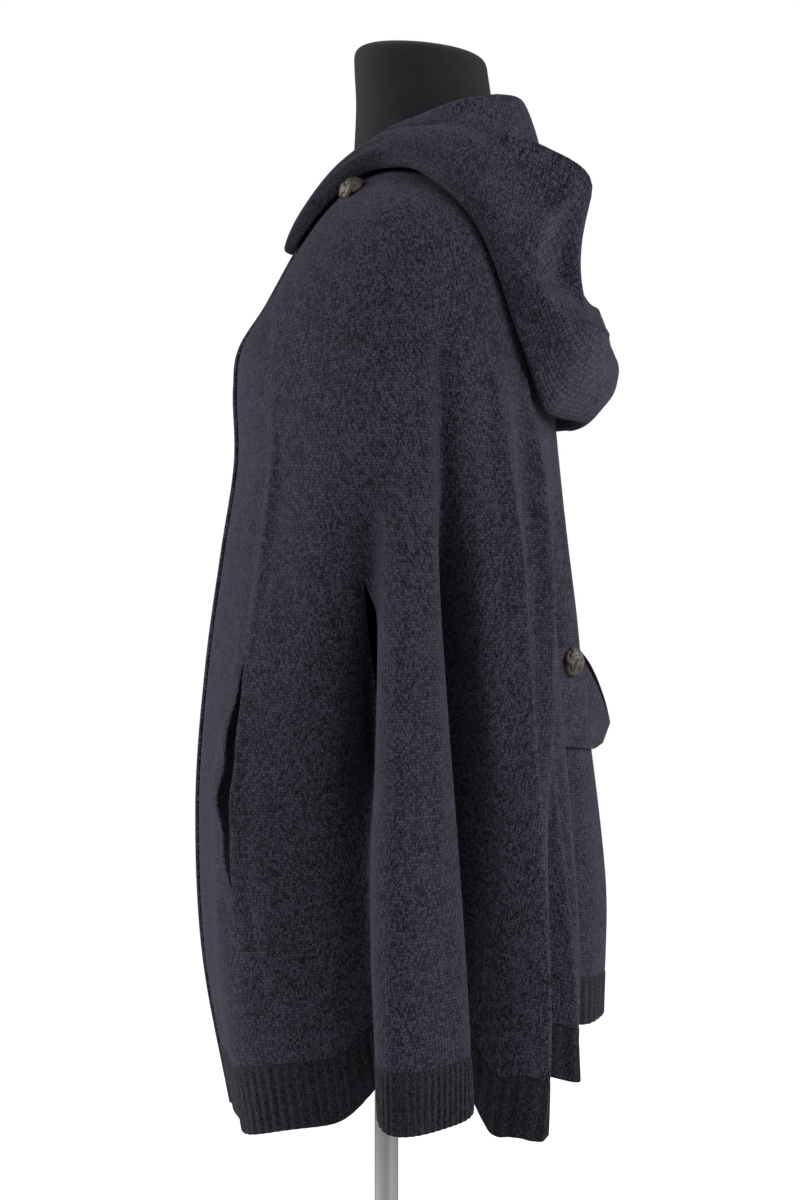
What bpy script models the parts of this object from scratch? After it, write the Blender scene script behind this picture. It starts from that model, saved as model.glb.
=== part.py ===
"""A hooded, knitted cape cardigan on a limbless dress form and its stand.

Metres, +Z up. The origin is the middle of the underside of the stand's base plate, on the pole's axis.
The cardigan's front faces -Y and the wearer's left is +X.

The cloth is one surface: a cape that falls from the neck seam to the hem, and a hood that rises from the
same seam and hangs down the back as an open bag. Both are functions of how far a point lies around the
wearer and how far it lies along the cloth. Each piece is a patch of that surface with a wall's thickness,
so pieces that are sewn together share an edge with a narrow seam gap between them.
"""
import math
from collections import namedtuple

import bmesh
import bpy
import numpy as np
from mathutils import Matrix, Vector
from mathutils.bvhtree import BVHTree

# Cloth
WALL = 0.0025               # thickness of the knitted wall
SEAM_GAP = 0.0003           # between two pieces that are sewn together
RIB_GAP = 0.0010            # between a panel and its ribbed hem, whose edges have unlike divisions
NECK_GAP = 0.0008           # between the cape and the hood, for the same reason
CLEARANCE = 0.0004          # between cloth and what it lies on
HOOD_CLEARANCE = 0.0045     # the same under the hood, whose divisions are wider than the cape's
BAND_WIDTH = 0.026          # overlapping bands down the centre front
RIB_TOP = 0.945             # fall at which the hem's rib begins
RIB_PITCH = 0.0080          # from one hem rib to the next
RIB_RAISE = 0.0011          # how far a hem rib stands out of the wall
MIDDLE_Y = 0.020            # where the cape's rings are widest
NECK_Y = 0.034              # axis of the neck, which the hood's sections turn about

# Slits: rows are (centre, high end, low end) as falls, with the widths that they gape
ARM_SLIT = {"high": 0.515, "low": 0.745, "front_gape": 0.007, "rear_gape": 0.013, "reach": 0.16}
POCKET_SLIT = {"around": 0.56, "high": 0.60, "low": 0.80, "gape": 0.0070}

# Dress form and stand
NECK_TOP_Z = 1.490
FORM_BOTTOM_Z = 0.735
POLE_RADIUS = 0.0105
BASE_RADIUS = 0.180
BASE_THICKNESS = 0.010
BASE_BEVEL = 0.002

# Buttons
BUTTON_RADIUS = 0.0122
BUTTON_HEIGHT = 0.0100
BUTTON_STRANDS = 6          # crossing strands round the dome
BUTTON_SWELL = 0.05
BUTTON_SEAT = 0.0004        # gap under a button
BELT_BUTTON = {"x": 0.094, "z": 0.948}
NECK_BUTTON = {"angle": 61.0, "fall": 0.045}

# One row for each ring of the cape, from the neck seam down. Its front, side and back points.
Ring = namedtuple("Ring", "fall front_y front_z side_x side_z back_y back_z")
CAPE_RINGS = (
    Ring(0.00, -0.068, 1.318, 0.0750, 1.372, 0.1120, 1.388),
    Ring(0.06, -0.081, 1.297, 0.1220, 1.353, 0.1260, 1.345),
    Ring(0.13, -0.104, 1.255, 0.1700, 1.322, 0.1370, 1.290),
    Ring(0.20, -0.126, 1.220, 0.1930, 1.270, 0.1430, 1.235),
    Ring(0.28, -0.131, 1.185, 0.2030, 1.197, 0.1470, 1.170),
    Ring(0.38, -0.130, 1.123, 0.2160, 1.115, 0.1530, 1.105),
    Ring(0.50, -0.142, 1.040, 0.2340, 1.025, 0.1610, 1.030),
    Ring(0.62, -0.155, 0.945, 0.2500, 0.930, 0.1690, 0.940),
    Ring(0.76, -0.164, 0.815, 0.2640, 0.808, 0.1790, 0.825),
    Ring(0.88, -0.158, 0.690, 0.2740, 0.695, 0.1840, 0.731),
    Ring(1.00, -0.134, 0.560, 0.2800, 0.588, 0.1820, 0.646),
)

# Falls of the lines that the cape's solids are divided at, closer where it bends over the shoulders
CAPE_FALLS = (0.0, 0.03, 0.06, 0.095, 0.13, 0.17, 0.22, 0.28, 0.35, 0.43, 0.51, 0.59, 0.67, 0.75, 0.83,
              0.89, RIB_TOP)

# One row for each fold on the wearer's left. 'high' and 'low' are its angles at the neck and at the hem,
# 0 at the centre front and 180 at the centre back. It grows from 'start' to 'full' and is gone at 'fade'.
# 'reach' is how far it stands out (a hollow is negative), 'drop' how far its hem hangs below the ring,
# 'lean' how far its crest is pushed to the back. The fold on the right is turned and scaled a little.
Fold = namedtuple("Fold", "high low width start full fade reach drop lean twin_turn twin_share")
FOLDS = (
    Fold(44, 39, 10.0, 0.42, 0.80, 9.0, 0.014, 0.006, 0.000, 3, 0.80),
    Fold(60, 60, 9.0, 0.50, 0.95, 9.0, -0.010, 0.000, 0.000, -4, 1.15),
    Fold(76, 73, 7.4, 0.38, 0.74, 9.0, -0.046, -0.030, 0.000, 2, 0.90),
    Fold(89, 89, 9.5, 0.36, 0.78, 9.0, 0.022, 0.002, -0.006, 3, 0.85),
    Fold(97, 119, 7.3, 0.22, 0.70, 9.0, -0.046, -0.010, 0.000, -3, 0.92),
    Fold(114, 125, 6.0, 0.40, 0.85, 9.0, 0.008, 0.021, 0.000, -2, 0.90),
    Fold(125, 127, 4.5, 0.22, 0.36, 0.82, 0.007, 0.000, 0.000, 2, 1.10),
    Fold(145, 128, 5.0, 0.28, 0.52, 9.0, 0.007, 0.026, 0.000, -2, 0.90),
    Fold(147, 137, 5.4, 0.50, 0.84, 9.0, -0.018, 0.000, 0.000, -1, 0.80),
    Fold(153, 144, 5.5, 0.60, 0.92, 9.0, 0.007, 0.020, 0.000, 1, 1.00),
    Fold(159, 154, 5.0, 0.32, 0.60, 9.0, -0.017, -0.008, 0.000, -1, 1.05),
    Fold(170, 170, 7.0, 0.60, 0.90, 9.0, 0.008, 0.000, 0.000, 2, 0.90),
)

# Where the seams of the cape run: their angles on the wearer's left at a few falls.
Seam = namedtuple("Seam", "fall front_side side_back")
SEAMS = (
    Seam(0.00, 50.0, 128.0),
    Seam(0.15, 54.0, 132.0),
    Seam(0.35, 64.0, 138.0),
    Seam(0.53, 73.5, 140.0),
    Seam(0.75, 76.0, 139.0),
    Seam(1.00, 77.0, 138.0),
)

# One row for each section of the hood, as planes through the neck's axis, from the throat to the centre
# back. The cloth rises from the neck seam to the roll, turns over it past the nape, goes down inside the
# bag to its lowest line, and comes up the outside over the belly and the waist to the free rim. Each is a
# reach from the axis and a height.
Section = namedtuple(
    "Section", "angle roll_r roll_z nape_r nape_z inside_r inside_z low_r low_z"
    " belly_r belly_z waist_r waist_z rim_r rim_z")
HOOD_SECTIONS = (
    Section(2, .1040, 1.328, .1080, 1.328, .1095, 1.317, .1160, 1.304, .1235, 1.307, .1235, 1.311, .1210, 1.315),
    Section(17, .0970, 1.341, .1010, 1.342, .1045, 1.331, .1110, 1.317, .1185, 1.325, .1165, 1.332, .1120, 1.338),
    Section(37, .0830, 1.368, .0880, 1.369, .0940, 1.356, .1030, 1.341, .1115, 1.354, .1060, 1.364, .0970, 1.370),
    Section(54, .0780, 1.386, .0840, 1.388, .0920, 1.373, .1030, 1.359, .1115, 1.371, .1060, 1.380, .0970, 1.386),
    Section(72, .0770, 1.401, .0850, 1.402, .0950, 1.381, .1080, 1.364, .1170, 1.378, .1110, 1.391, .1010, 1.397),
    Section(90, .0780, 1.412, .0880, 1.408, .1050, 1.378, .1370, 1.352, .1460, 1.371, .1310, 1.391, .1090, 1.399),
    Section(105, .0800, 1.421, .0910, 1.411, .1220, 1.363, .1670, 1.303, .1760, 1.335, .1560, 1.375, .1260, 1.398),
    Section(118, .0810, 1.427, .0920, 1.412, .1370, 1.335, .1700, 1.207, .1820, 1.275, .1670, 1.340, .1460, 1.388),
    Section(128, .0810, 1.430, .0930, 1.411, .1350, 1.301, .1560, 1.163, .1800, 1.230, .1660, 1.310, .1640, 1.377),
    Section(139, .0820, 1.433, .0940, 1.410, .1290, 1.272, .1470, 1.154, .1780, 1.210, .1620, 1.287, .1840, 1.349),
    Section(146, .0820, 1.434, .0945, 1.409, .1250, 1.258, .1445, 1.153, .1750, 1.205, .1590, 1.265, .1600, 1.318),
    Section(154, .0825, 1.435, .0950, 1.408, .1210, 1.245, .1430, 1.153, .1710, 1.200, .1540, 1.250, .1400, 1.285),
    Section(165, .0830, 1.436, .0955, 1.407, .1195, 1.240, .1420, 1.153, .1700, 1.198, .1560, 1.238, .1440, 1.262),
    Section(180, .0840, 1.436, .0960, 1.407, .1185, 1.240, .1410, 1.155, .1700, 1.198, .1610, 1.234, .1530, 1.256),
)
HOOD_START = 2.0            # angle at which each half of the hood begins, at the throat
HOOD_RISES = (0.00, 0.12, 0.20, 0.42, 0.62, 0.76, 0.88, 1.00)   # where those lines lie along the cloth
HOOD_LINES = (0.00, 0.06, 0.10, 0.13, 0.17, 0.22, 0.32, 0.42, 0.54, 0.62, 0.68, 0.76, 0.84, 0.92, 1.00)

# The half-belt across the back: one row for each upright line on it, from its right end to its left.
BeltLine = namedtuple("BeltLine", "x top_y top_z low_y low_z")
BELT_LINES = (
    BeltLine(-0.112, 0.1400, 0.964, 0.1400, 0.880),
    BeltLine(-0.090, 0.1600, 0.966, 0.1570, 0.878),
    BeltLine(-0.060, 0.1800, 0.946, 0.1780, 0.875),
    BeltLine(-0.030, 0.1910, 0.917, 0.1880, 0.877),
    BeltLine(0.000, 0.1950, 0.894, 0.1880, 0.875),
    BeltLine(0.030, 0.1870, 0.912, 0.1840, 0.874),
    BeltLine(0.060, 0.1730, 0.940, 0.1750, 0.872),
    BeltLine(0.090, 0.1560, 0.960, 0.1560, 0.875),
    BeltLine(0.112, 0.1400, 0.962, 0.1400, 0.878),
)

# The dress form. Its neck is (height, inset) rings; its neck's root and its torso are rings like the
# cape's, and between them its shoulders follow the cape's inside at a few falls.
FORM_SHOULDER_FALLS = CAPE_FALLS[1:5]
FORM_NECK_RADII = (0.0560, 0.0610)
FORM_NECK_RINGS = ((1.4880, 0.016), (1.4840, 0.007), (1.4780, 0.003), (1.4500, 0.0015), (1.4250, 0.0))
NECK_SLOPE = 0.09           # how far the neck's top falls away to the back, per metre
NECK_LEAN = 0.08            # how far it leans forwards, per metre above its foot
FORM_RINGS = (
    Ring(0.00, -0.0330, 1.355, 0.0585, 1.389, 0.0975, 1.418),
    Ring(0.01, -0.0500, 1.330, 0.0635, 1.3715, 0.1035, 1.400),
    Ring(0.20, -0.1205, 1.218, 0.1720, 1.266, 0.1385, 1.235),
    Ring(0.30, -0.1250, 1.180, 0.1640, 1.200, 0.1400, 1.175),
    Ring(0.38, -0.1190, 1.125, 0.1500, 1.130, 0.1300, 1.120),
    Ring(0.50, -0.0980, 1.040, 0.1310, 1.040, 0.1080, 1.040),
    Ring(0.60, -0.0950, 0.970, 0.1360, 0.970, 0.1080, 0.970),
    Ring(0.72, -0.1060, 0.890, 0.1620, 0.890, 0.1320, 0.890),
    Ring(0.86, -0.1080, 0.800, 0.1740, 0.800, 0.1430, 0.800),
    Ring(1.00, -0.0980, FORM_BOTTOM_Z, 0.1640, FORM_BOTTOM_Z, 0.1320, FORM_BOTTOM_Z),
)

# How finely the solids are divided
FRONT_COLUMNS = 16
SIDE_COLUMNS = 25
BACK_COLUMNS = 28
BAND_COLUMNS = 2
HOOD_COLUMNS = 22
BELT_COLUMNS = 18
BELT_ROWS = 5
FORM_COLUMNS = 32

# Colour, roughness and metallic value of each material
Finish = namedtuple("Finish", "colour roughness metallic")
FINISHES = {
    "charcoal_knit": Finish((0.034, 0.032, 0.048, 1.0), 0.95, 0.0),
    "charcoal_rib": Finish((0.020, 0.020, 0.026, 1.0), 0.95, 0.0),
    "braided_leather": Finish((0.150, 0.120, 0.100, 1.0), 0.55, 0.0),
    "black_jersey": Finish((0.020, 0.020, 0.024, 1.0), 0.90, 0.0),
    "polished_steel": Finish((0.620, 0.620, 0.620, 1.0), 0.18, 1.0),
    "brushed_steel": Finish((0.500, 0.500, 0.500, 1.0), 0.35, 1.0),
}


# ---------------------------------------------------------------- curves and surfaces

def smooth_rows(table, at):
    """Read a table at the values 'at' of its first column.

    Between two rows every column follows a cubic whose slopes at the rows are those of the parabola
    through their neighbours.
    """
    rows = np.array(table, dtype=float)
    keys = rows[:, 0]
    slopes = np.gradient(rows, keys, axis=0)
    at = np.clip(at, keys[0], keys[-1])
    low = np.clip(np.searchsorted(keys, at, side="right") - 1, 0, len(keys) - 2)
    step = (keys[low + 1] - keys[low])[..., None]
    part = (at[..., None] - keys[low][..., None]) / step
    start_weight = 2 * part**3 - 3 * part**2 + 1
    end_weight = 1 - start_weight
    start_slope = (part**3 - 2 * part**2 + part) * step
    end_slope = (part**3 - part**2) * step
    value = start_weight * rows[low] + end_weight * rows[low + 1]
    return value + start_slope * slopes[low] + end_slope * slopes[low + 1]


def ease(value):
    """Rise from 0 to 1 with level ends as the value goes from 0 to 1."""
    value = np.clip(value, 0.0, 1.0)
    return value * value * (3 - 2 * value)


def ring_points(ring, angle):
    """Points of an oval ring: x = half width times the sine, y = middle - reach times the cosine, and a
    height that goes from the side's to the front's or back's with the cosine squared."""
    turn = np.radians(angle)
    sine, cosine = np.sin(turn), np.cos(turn)
    front = cosine > 0
    end_y = np.where(front, ring[..., 1], ring[..., 5])
    end_z = np.where(front, ring[..., 2], ring[..., 6])
    reach = np.abs(end_y - MIDDLE_Y)
    x = ring[..., 3] * sine
    y = MIDDLE_Y - reach * cosine
    z = ring[..., 4] + (end_z - ring[..., 4]) * cosine**2
    outward = np.stack((sine * reach, -cosine * ring[..., 3]), axis=-1)
    outward /= np.linalg.norm(outward, axis=-1, keepdims=True)
    return np.stack((x, y, z), axis=-1), outward


def all_folds():
    """The folds of both sides as (high, low, width, start, full, fade, reach, drop, lean) rows."""
    rows = []
    for fold in FOLDS:
        rows.append(fold[:9])
        share = fold.twin_share
        high, low = 360 - fold.high + fold.twin_turn, 360 - fold.low + fold.twin_turn
        rows.append((high, low, fold.width, fold.start, fold.full, fold.fade,
                     fold.reach * share, fold.drop * share, -fold.lean * share))
    return rows


def drape(angle, fall):
    """The cape's outer surface: its ring at this fall, moved out or in by each fold's bell curve over the
    angle, and sideways and down by the fold's lean and drop."""
    points, outward = ring_points(smooth_rows(CAPE_RINGS, fall), angle)
    out = np.zeros_like(fall)
    side = np.zeros_like(fall)
    down = np.zeros_like(fall)
    for high, low, width, start, full, fade, reach, drop, lean in all_folds():
        centre = high + (low - high) * fall
        bell = np.exp(-((angle - centre) / width) ** 2)
        grown = ease((fall - start) / (full - start))
        gone = ease((fall - fade + 0.35) / 0.35)
        out += reach * bell * grown * (1 - gone)
        side += lean * bell * grown
        down += drop * bell * ease((fall - 0.55) / 0.45)
    sideways = np.stack((-outward[..., 1], outward[..., 0]), axis=-1)
    points[..., :2] += out[..., None] * outward + side[..., None] * sideways
    points[..., 2] -= down
    return points


def ring_angle(around, fall):
    """The angle of a point 'around' the cape: 0 at the left front's edge, 1 and 2 at its seams, 3 at the
    centre back, and so on to 6 at the right front's edge. -1 and 7 are the free edges of the bands."""
    ring = smooth_rows(CAPE_RINGS, fall)
    seam = smooth_rows(SEAMS, fall)
    edge = np.degrees(np.arcsin(0.5 * BAND_WIDTH / ring[..., 3]))
    stops = (-edge, edge, seam[..., 1], seam[..., 2], np.full_like(fall, 180.0),
             360 - seam[..., 2], 360 - seam[..., 1], 360 - edge, 360 + edge)
    angle = np.zeros_like(fall)
    for index in range(len(stops) - 1):
        part = np.clip(around + 1 - index, 0.0, 1.0)
        angle += part * (stops[index + 1] - stops[index])
    return angle + stops[0]


def slit_gape(around, fall):
    """How far the cloth beside an arm slit is drawn away from its seam, towards higher 'around'."""
    length = ARM_SLIT["low"] - ARM_SLIT["high"]
    part = np.clip((fall - ARM_SLIT["high"]) / length, 0.0, 1.0)
    lens = np.sin(math.pi * part)
    shift = np.zeros_like(fall)
    for seam, low_gape, high_gape in ((1, "front_gape", "rear_gape"), (5, "rear_gape", "front_gape")):
        beside = around - seam
        near = np.exp(-np.abs(beside) / ARM_SLIT["reach"])
        gape = np.where(beside < 0, -ARM_SLIT[low_gape], ARM_SLIT[high_gape])
        shift += gape * near * lens * (np.abs(beside) < 1)
    return shift


def cape(around, fall):
    """The cape's outer surface, with the arm slits drawn open."""
    around, fall = np.broadcast_arrays(np.asarray(around, dtype=float), np.asarray(fall, dtype=float))
    step = 0.5
    angle = ring_angle(around, fall)
    points = drape(angle, fall)
    along = drape(angle + step, fall) - drape(angle - step, fall)
    along /= np.linalg.norm(along, axis=-1, keepdims=True)
    return points + slit_gape(around, fall)[..., None] * along


def hood(turn, rise):
    """The hood's outer surface: 'turn' is the angle round the neck and 'rise' goes from 0 at the neck
    seam to 1 at the free rim, on a smooth curve through the points of the section at that angle."""
    turn, rise = np.broadcast_arrays(np.asarray(turn, dtype=float), np.asarray(rise, dtype=float))
    mirrored = turn > 180
    folded = np.where(mirrored, 360 - turn, turn)
    section = smooth_rows(HOOD_SECTIONS, folded)
    seam = drape(folded, np.zeros_like(folded))
    sine, cosine = np.sin(np.radians(folded)), np.cos(np.radians(folded))
    stops = [seam]
    for column in range(1, section.shape[-1], 2):
        reach, height = section[..., column], section[..., column + 1]
        stops.append(np.stack((reach * sine, NECK_Y - reach * cosine, height), axis=-1))
    stops = np.stack(stops)
    slopes = np.gradient(stops, np.array(HOOD_RISES), axis=0)
    rises = np.array(HOOD_RISES)
    low = np.clip(np.searchsorted(rises, rise, side="right") - 1, 0, len(rises) - 2)
    step = (rises[low + 1] - rises[low])[..., None]
    part = (rise[..., None] - rises[low][..., None]) / step
    pick = np.meshgrid(*[np.arange(size) for size in turn.shape], indexing="ij")
    first, second = (low, *pick), (low + 1, *pick)
    start_weight = 2 * part**3 - 3 * part**2 + 1
    points = start_weight * stops[first] + (1 - start_weight) * stops[second]
    points = points + (part**3 - 2 * part**2 + part) * step * slopes[first]
    points = points + (part**3 - part**2) * step * slopes[second]
    points[..., 0] = np.where(mirrored, -points[..., 0], points[..., 0])
    return points


def facing(surface, u, v, step_u, step_v):
    """Unit normals of a surface, from the cross product of its two directions."""
    across = surface(u + step_u, v) - surface(u - step_u, v)
    along = surface(u, np.minimum(v + step_v, 1.0)) - surface(u, np.maximum(v - step_v, 0.0))
    normal = np.cross(along, across)
    return normal / np.linalg.norm(normal, axis=-1, keepdims=True)


# ---------------------------------------------------------------- meshes

def triangles_of(points, quads):
    """Split each quad along its shorter diagonal."""
    faces = []
    for a, b, c, d in quads:
        if np.sum((points[a] - points[c]) ** 2) <= np.sum((points[b] - points[d]) ** 2):
            faces += [(a, b, c), (a, c, d)]
        else:
            faces += [(a, b, d), (b, c, d)]
    return faces


def grid_quads(rows, columns):
    """Quads of a grid whose points are numbered along its rows, facing the normal of 'facing'."""
    quads = []
    for row in range(rows - 1):
        for column in range(columns - 1):
            corner = row * columns + column
            quads.append((corner, corner + columns, corner + columns + 1, corner + 1))
    return quads


def wall_faces(outer, inner, quads):
    """Triangles of a wall: the outer skin, the same skin reversed for the inner points, and a rim along
    every edge that only one triangle uses."""
    count = len(outer)
    points = np.vstack((outer, inner))
    skin = triangles_of(outer, quads)
    faces = list(skin)
    faces += [(c + count, b + count, a + count) for a, b, c in skin]
    edges = {(face[k], face[(k + 1) % 3]) for face in skin for k in range(3)}
    for start, end in sorted(edges):
        if (end, start) not in edges:
            faces += triangles_of(points, [(end, start, start + count, end + count)])
    return faces


def add_object(name, mesh, finish, collection):
    """Put a mesh into the model with its material, shaded smooth up to 40 degrees."""
    item = bpy.data.objects.new(name, mesh)
    collection.objects.link(item)
    mesh.materials.clear()
    mesh.materials.append(finish)
    mesh.shade_smooth()
    mesh.set_sharp_from_angle(angle=math.radians(40))
    return item


def add_wall(name, outer, inner, quads, finish, collection):
    """Make a closed wall from its outer and inner points."""
    mesh = bpy.data.meshes.new(name)
    mesh.from_pydata(np.vstack((outer, inner)).tolist(), [], wall_faces(outer, inner, quads))
    mesh.validate()
    return add_object(name, mesh, finish, collection)


def inset_edges(grid, sides, gap=SEAM_GAP):
    """Draw the named sides of a grid of points in by half a seam gap, along the cloth."""
    grid = grid.copy()
    moves = {"first_column": ((slice(None), 0), (slice(None), 1)),
             "last_column": ((slice(None), -1), (slice(None), -2)),
             "first_row": ((0, slice(None)), (1, slice(None))),
             "last_row": ((-1, slice(None)), (-2, slice(None)))}
    for side in sides:
        edge, inside = moves[side]
        along = grid[inside] - grid[edge]
        along /= np.linalg.norm(along, axis=-1, keepdims=True)
        grid[edge] += 0.5 * gap * along
    return grid


def make_materials():
    """Make every material of the model."""
    made = {}
    for name, finish in FINISHES.items():
        material = bpy.data.materials.new(name)
        material.use_nodes = True
        shader = material.node_tree.nodes["Principled BSDF"]
        shader.inputs["Base Color"].default_value = finish.colour
        shader.inputs["Roughness"].default_value = finish.roughness
        shader.inputs["Metallic"].default_value = finish.metallic
        material.diffuse_color = finish.colour
        made[name] = material
    return made


# ---------------------------------------------------------------- the cape's pieces

def seam_normals(angle):
    """Normals at the neck seam, half way between the cape's and the hood's, so that both rims meet."""
    start = np.zeros_like(angle)
    below = facing(drape, angle, start, 0.5, 0.01)
    above = facing(hood, angle, start, 0.5, 0.02)
    middle = below - above
    return middle / np.linalg.norm(middle, axis=-1, keepdims=True)


def cape_grid(first, last, columns, falls, raised=0.0):
    """Outer and inner points of a stretch of the cape between two 'around' values."""
    inside = 1e-6
    around = np.linspace(first + inside, last - inside, columns + 1)
    u, v = np.meshgrid(around, falls)
    outer = cape(u, v)
    normal = facing(cape, u, v, 0.004, 0.004)
    if falls[0] == 0.0:
        normal[0] = seam_normals(ring_angle(around, np.zeros_like(around)))
    outer = outer + raised * normal
    return outer, outer - WALL * normal


def add_panel(name, first, last, columns, finish, collection, slit=None):
    """A panel of the cape from the neck seam to the rib, with a slit if it has one."""
    falls = np.array(CAPE_FALLS)
    outer, inner = cape_grid(first, last, columns, falls)
    sides = ("first_column", "last_column")
    outer, inner = inset_edges(outer, sides), inset_edges(inner, sides)
    outer, inner = (inset_edges(skin, ("last_row",), RIB_GAP) for skin in (outer, inner))
    outer, inner = (inset_edges(skin, ("first_row",), NECK_GAP) for skin in (outer, inner))
    rows, width = outer.shape[:2]
    quads = grid_quads(rows, width)
    outer, inner = outer.reshape(-1, 3), inner.reshape(-1, 3)
    if slit:
        outer, inner, quads = cut_slit(outer, inner, quads, slit, first, last, columns, falls)
    return add_wall(name, outer, inner, quads, finish, collection)


def cut_slit(outer, inner, quads, slit, first, last, columns, falls):
    """Part the cloth along the grid line nearest the slit: its points are doubled, and the two copies
    are drawn apart by the slit's gape, widest at its middle."""
    line = int(round((slit["around"] - first) / (last - first) * columns))
    line = min(max(line, 1), columns - 1)
    rows = [row for row, fall in enumerate(falls) if slit["high"] < fall < slit["low"]]
    width = columns + 1
    twins = {}
    for row in rows:
        point = row * width + line
        twins[point] = len(outer) + len(twins)
    order = sorted(twins)
    middle = 0.5 * (len(rows) - 1)
    spread = {row: slit["gape"] * (1 - ((k - middle) / (middle + 1)) ** 2) for k, row in enumerate(rows)}
    skins = []
    for skin in (outer, inner):
        skin = np.vstack((skin, skin[order]))
        for row in rows:
            point = row * width + line
            along = skin[point + 1] - skin[point - 1]
            along /= np.linalg.norm(along)
            skin[twins[point]] += spread[row] * along
            skin[point] -= spread[row] * along
        skins.append(skin)
    beyond = []
    for quad in quads:
        on_right = min(corner % width for corner in quad) >= line
        beyond.append(tuple(twins.get(corner, corner) if on_right else corner for corner in quad))
    return skins[0], skins[1], beyond


def add_hem(name, first, last, columns, finish, collection, raised=0.0):
    """A stretch of the ribbed hem: between two grid lines of its panel the ribs stand side by side,
    raised in the outer points over a plain inside."""
    outer, inner = cape_grid(first, last, columns, np.array([RIB_TOP, 1.0]), raised)
    sides = ("first_column", "last_column")
    outer, inner = inset_edges(outer, sides), inset_edges(inner, sides)
    outer, inner = (inset_edges(skin, ("first_row",), RIB_GAP) for skin in (outer, inner))
    skins = [[], []]
    for column in range(columns):
        length = np.linalg.norm(outer[0, column + 1] - outer[0, column])
        ribs = max(1, int(round(length / RIB_PITCH)))
        for half in range(2 * ribs):
            part = half / (2 * ribs)
            here_out = outer[:, column] * (1 - part) + outer[:, column + 1] * part
            here_in = inner[:, column] * (1 - part) + inner[:, column + 1] * part
            out = here_out - here_in
            out /= np.linalg.norm(out, axis=-1, keepdims=True)
            skins[0].append(here_out + (RIB_RAISE if half % 2 else 0.0) * out)
            skins[1].append(here_in)
    skins[0].append(outer[:, columns])
    skins[1].append(inner[:, columns])
    outer, inner = (np.stack(skin, axis=1) for skin in skins)
    quads = grid_quads(2, outer.shape[1])
    return add_wall(name, outer.reshape(-1, 3), inner.reshape(-1, 3), quads, finish, collection)


def add_band(name, first, last, raised, finish, collection):
    """A plain band down the centre front, its whole height, raised where it overlaps the other."""
    falls = np.append(CAPE_FALLS, 1.0)
    outer, inner = cape_grid(first, last, BAND_COLUMNS, falls, raised)
    outer, inner = (inset_edges(skin, ("first_column", "last_column")) for skin in (outer, inner))
    outer, inner = (inset_edges(skin, ("first_row",), NECK_GAP) for skin in (outer, inner))
    quads = grid_quads(*outer.shape[:2])
    return add_wall(name, outer.reshape(-1, 3), inner.reshape(-1, 3), quads, finish, collection)


def outer_tree(walls):
    """The outer skins of several walls, whose points are the first half of each mesh, as one tree that
    gives the nearest point on them."""
    points, faces = [], []
    for wall in walls:
        count, skin = len(points), len(wall.data.vertices) // 2
        points += [vertex.co.copy() for vertex in wall.data.vertices[:skin]]
        for face in wall.data.polygons:
            if max(face.vertices) < skin:
                faces.append([count + corner for corner in face.vertices])
    return BVHTree.FromPolygons(points, faces)


def keep_clear(points, tree, gap):
    """Move points that are nearer to a wall's outer side than a gap, or just inside it, outwards."""
    moved = points.reshape(-1, 3).copy()
    for index, point in enumerate(moved):
        place, normal, _, _ = tree.find_nearest(Vector(point))
        height = (Vector(point) - place).dot(normal)
        if height < gap:
            moved[index] += np.array(normal) * (gap - height)
    return moved.reshape(points.shape)


# ---------------------------------------------------------------- hood, belt and buttons

def add_hood(name, first, last, finish, collection, tree):
    """One half of the hood, from the throat to the centre back seam."""
    turns = np.linspace(first, last, HOOD_COLUMNS + 1)
    u, v = np.meshgrid(turns, HOOD_LINES)
    outer = hood(u, v)
    outer[5:] = keep_clear(outer[5:], tree, HOOD_CLEARANCE)
    normal = -facing(hood, u, v, 0.5, 0.01)
    normal[0] = seam_normals(turns)
    inner = outer - WALL * normal
    outer, inner = (inset_edges(skin, ("first_column", "last_column")) for skin in (outer, inner))
    outer, inner = (inset_edges(skin, ("first_row",), NECK_GAP) for skin in (outer, inner))
    quads = [quad[::-1] for quad in grid_quads(*outer.shape[:2])]
    return add_wall(name, outer.reshape(-1, 3), inner.reshape(-1, 3), quads, finish, collection)


def add_belt(finish, collection, tree):
    """The slack half-belt: each upright line runs from its upper to its lower edge, a little hollow
    towards the body, and the whole lies on the cape at both ends."""
    width = BELT_LINES[-1].x
    x, part = np.meshgrid(np.linspace(width, -width, BELT_COLUMNS + 1), np.linspace(0, 1, BELT_ROWS + 1))
    line = smooth_rows(BELT_LINES, x)
    y = line[..., 1] * (1 - part) + line[..., 3] * part
    z = line[..., 2] * (1 - part) + line[..., 4] * part
    inner = keep_clear(np.stack((x, y, z), axis=-1), tree, 2 * CLEARANCE)
    down, across = np.gradient(inner, axis=0), np.gradient(inner, axis=1)
    normal = np.cross(down, across)
    normal /= np.linalg.norm(normal, axis=-1, keepdims=True)
    outer = inner + WALL * normal
    quads = grid_quads(*outer.shape[:2])
    return add_wall("half_belt", outer.reshape(-1, 3), inner.reshape(-1, 3), quads, finish, collection)


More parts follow.
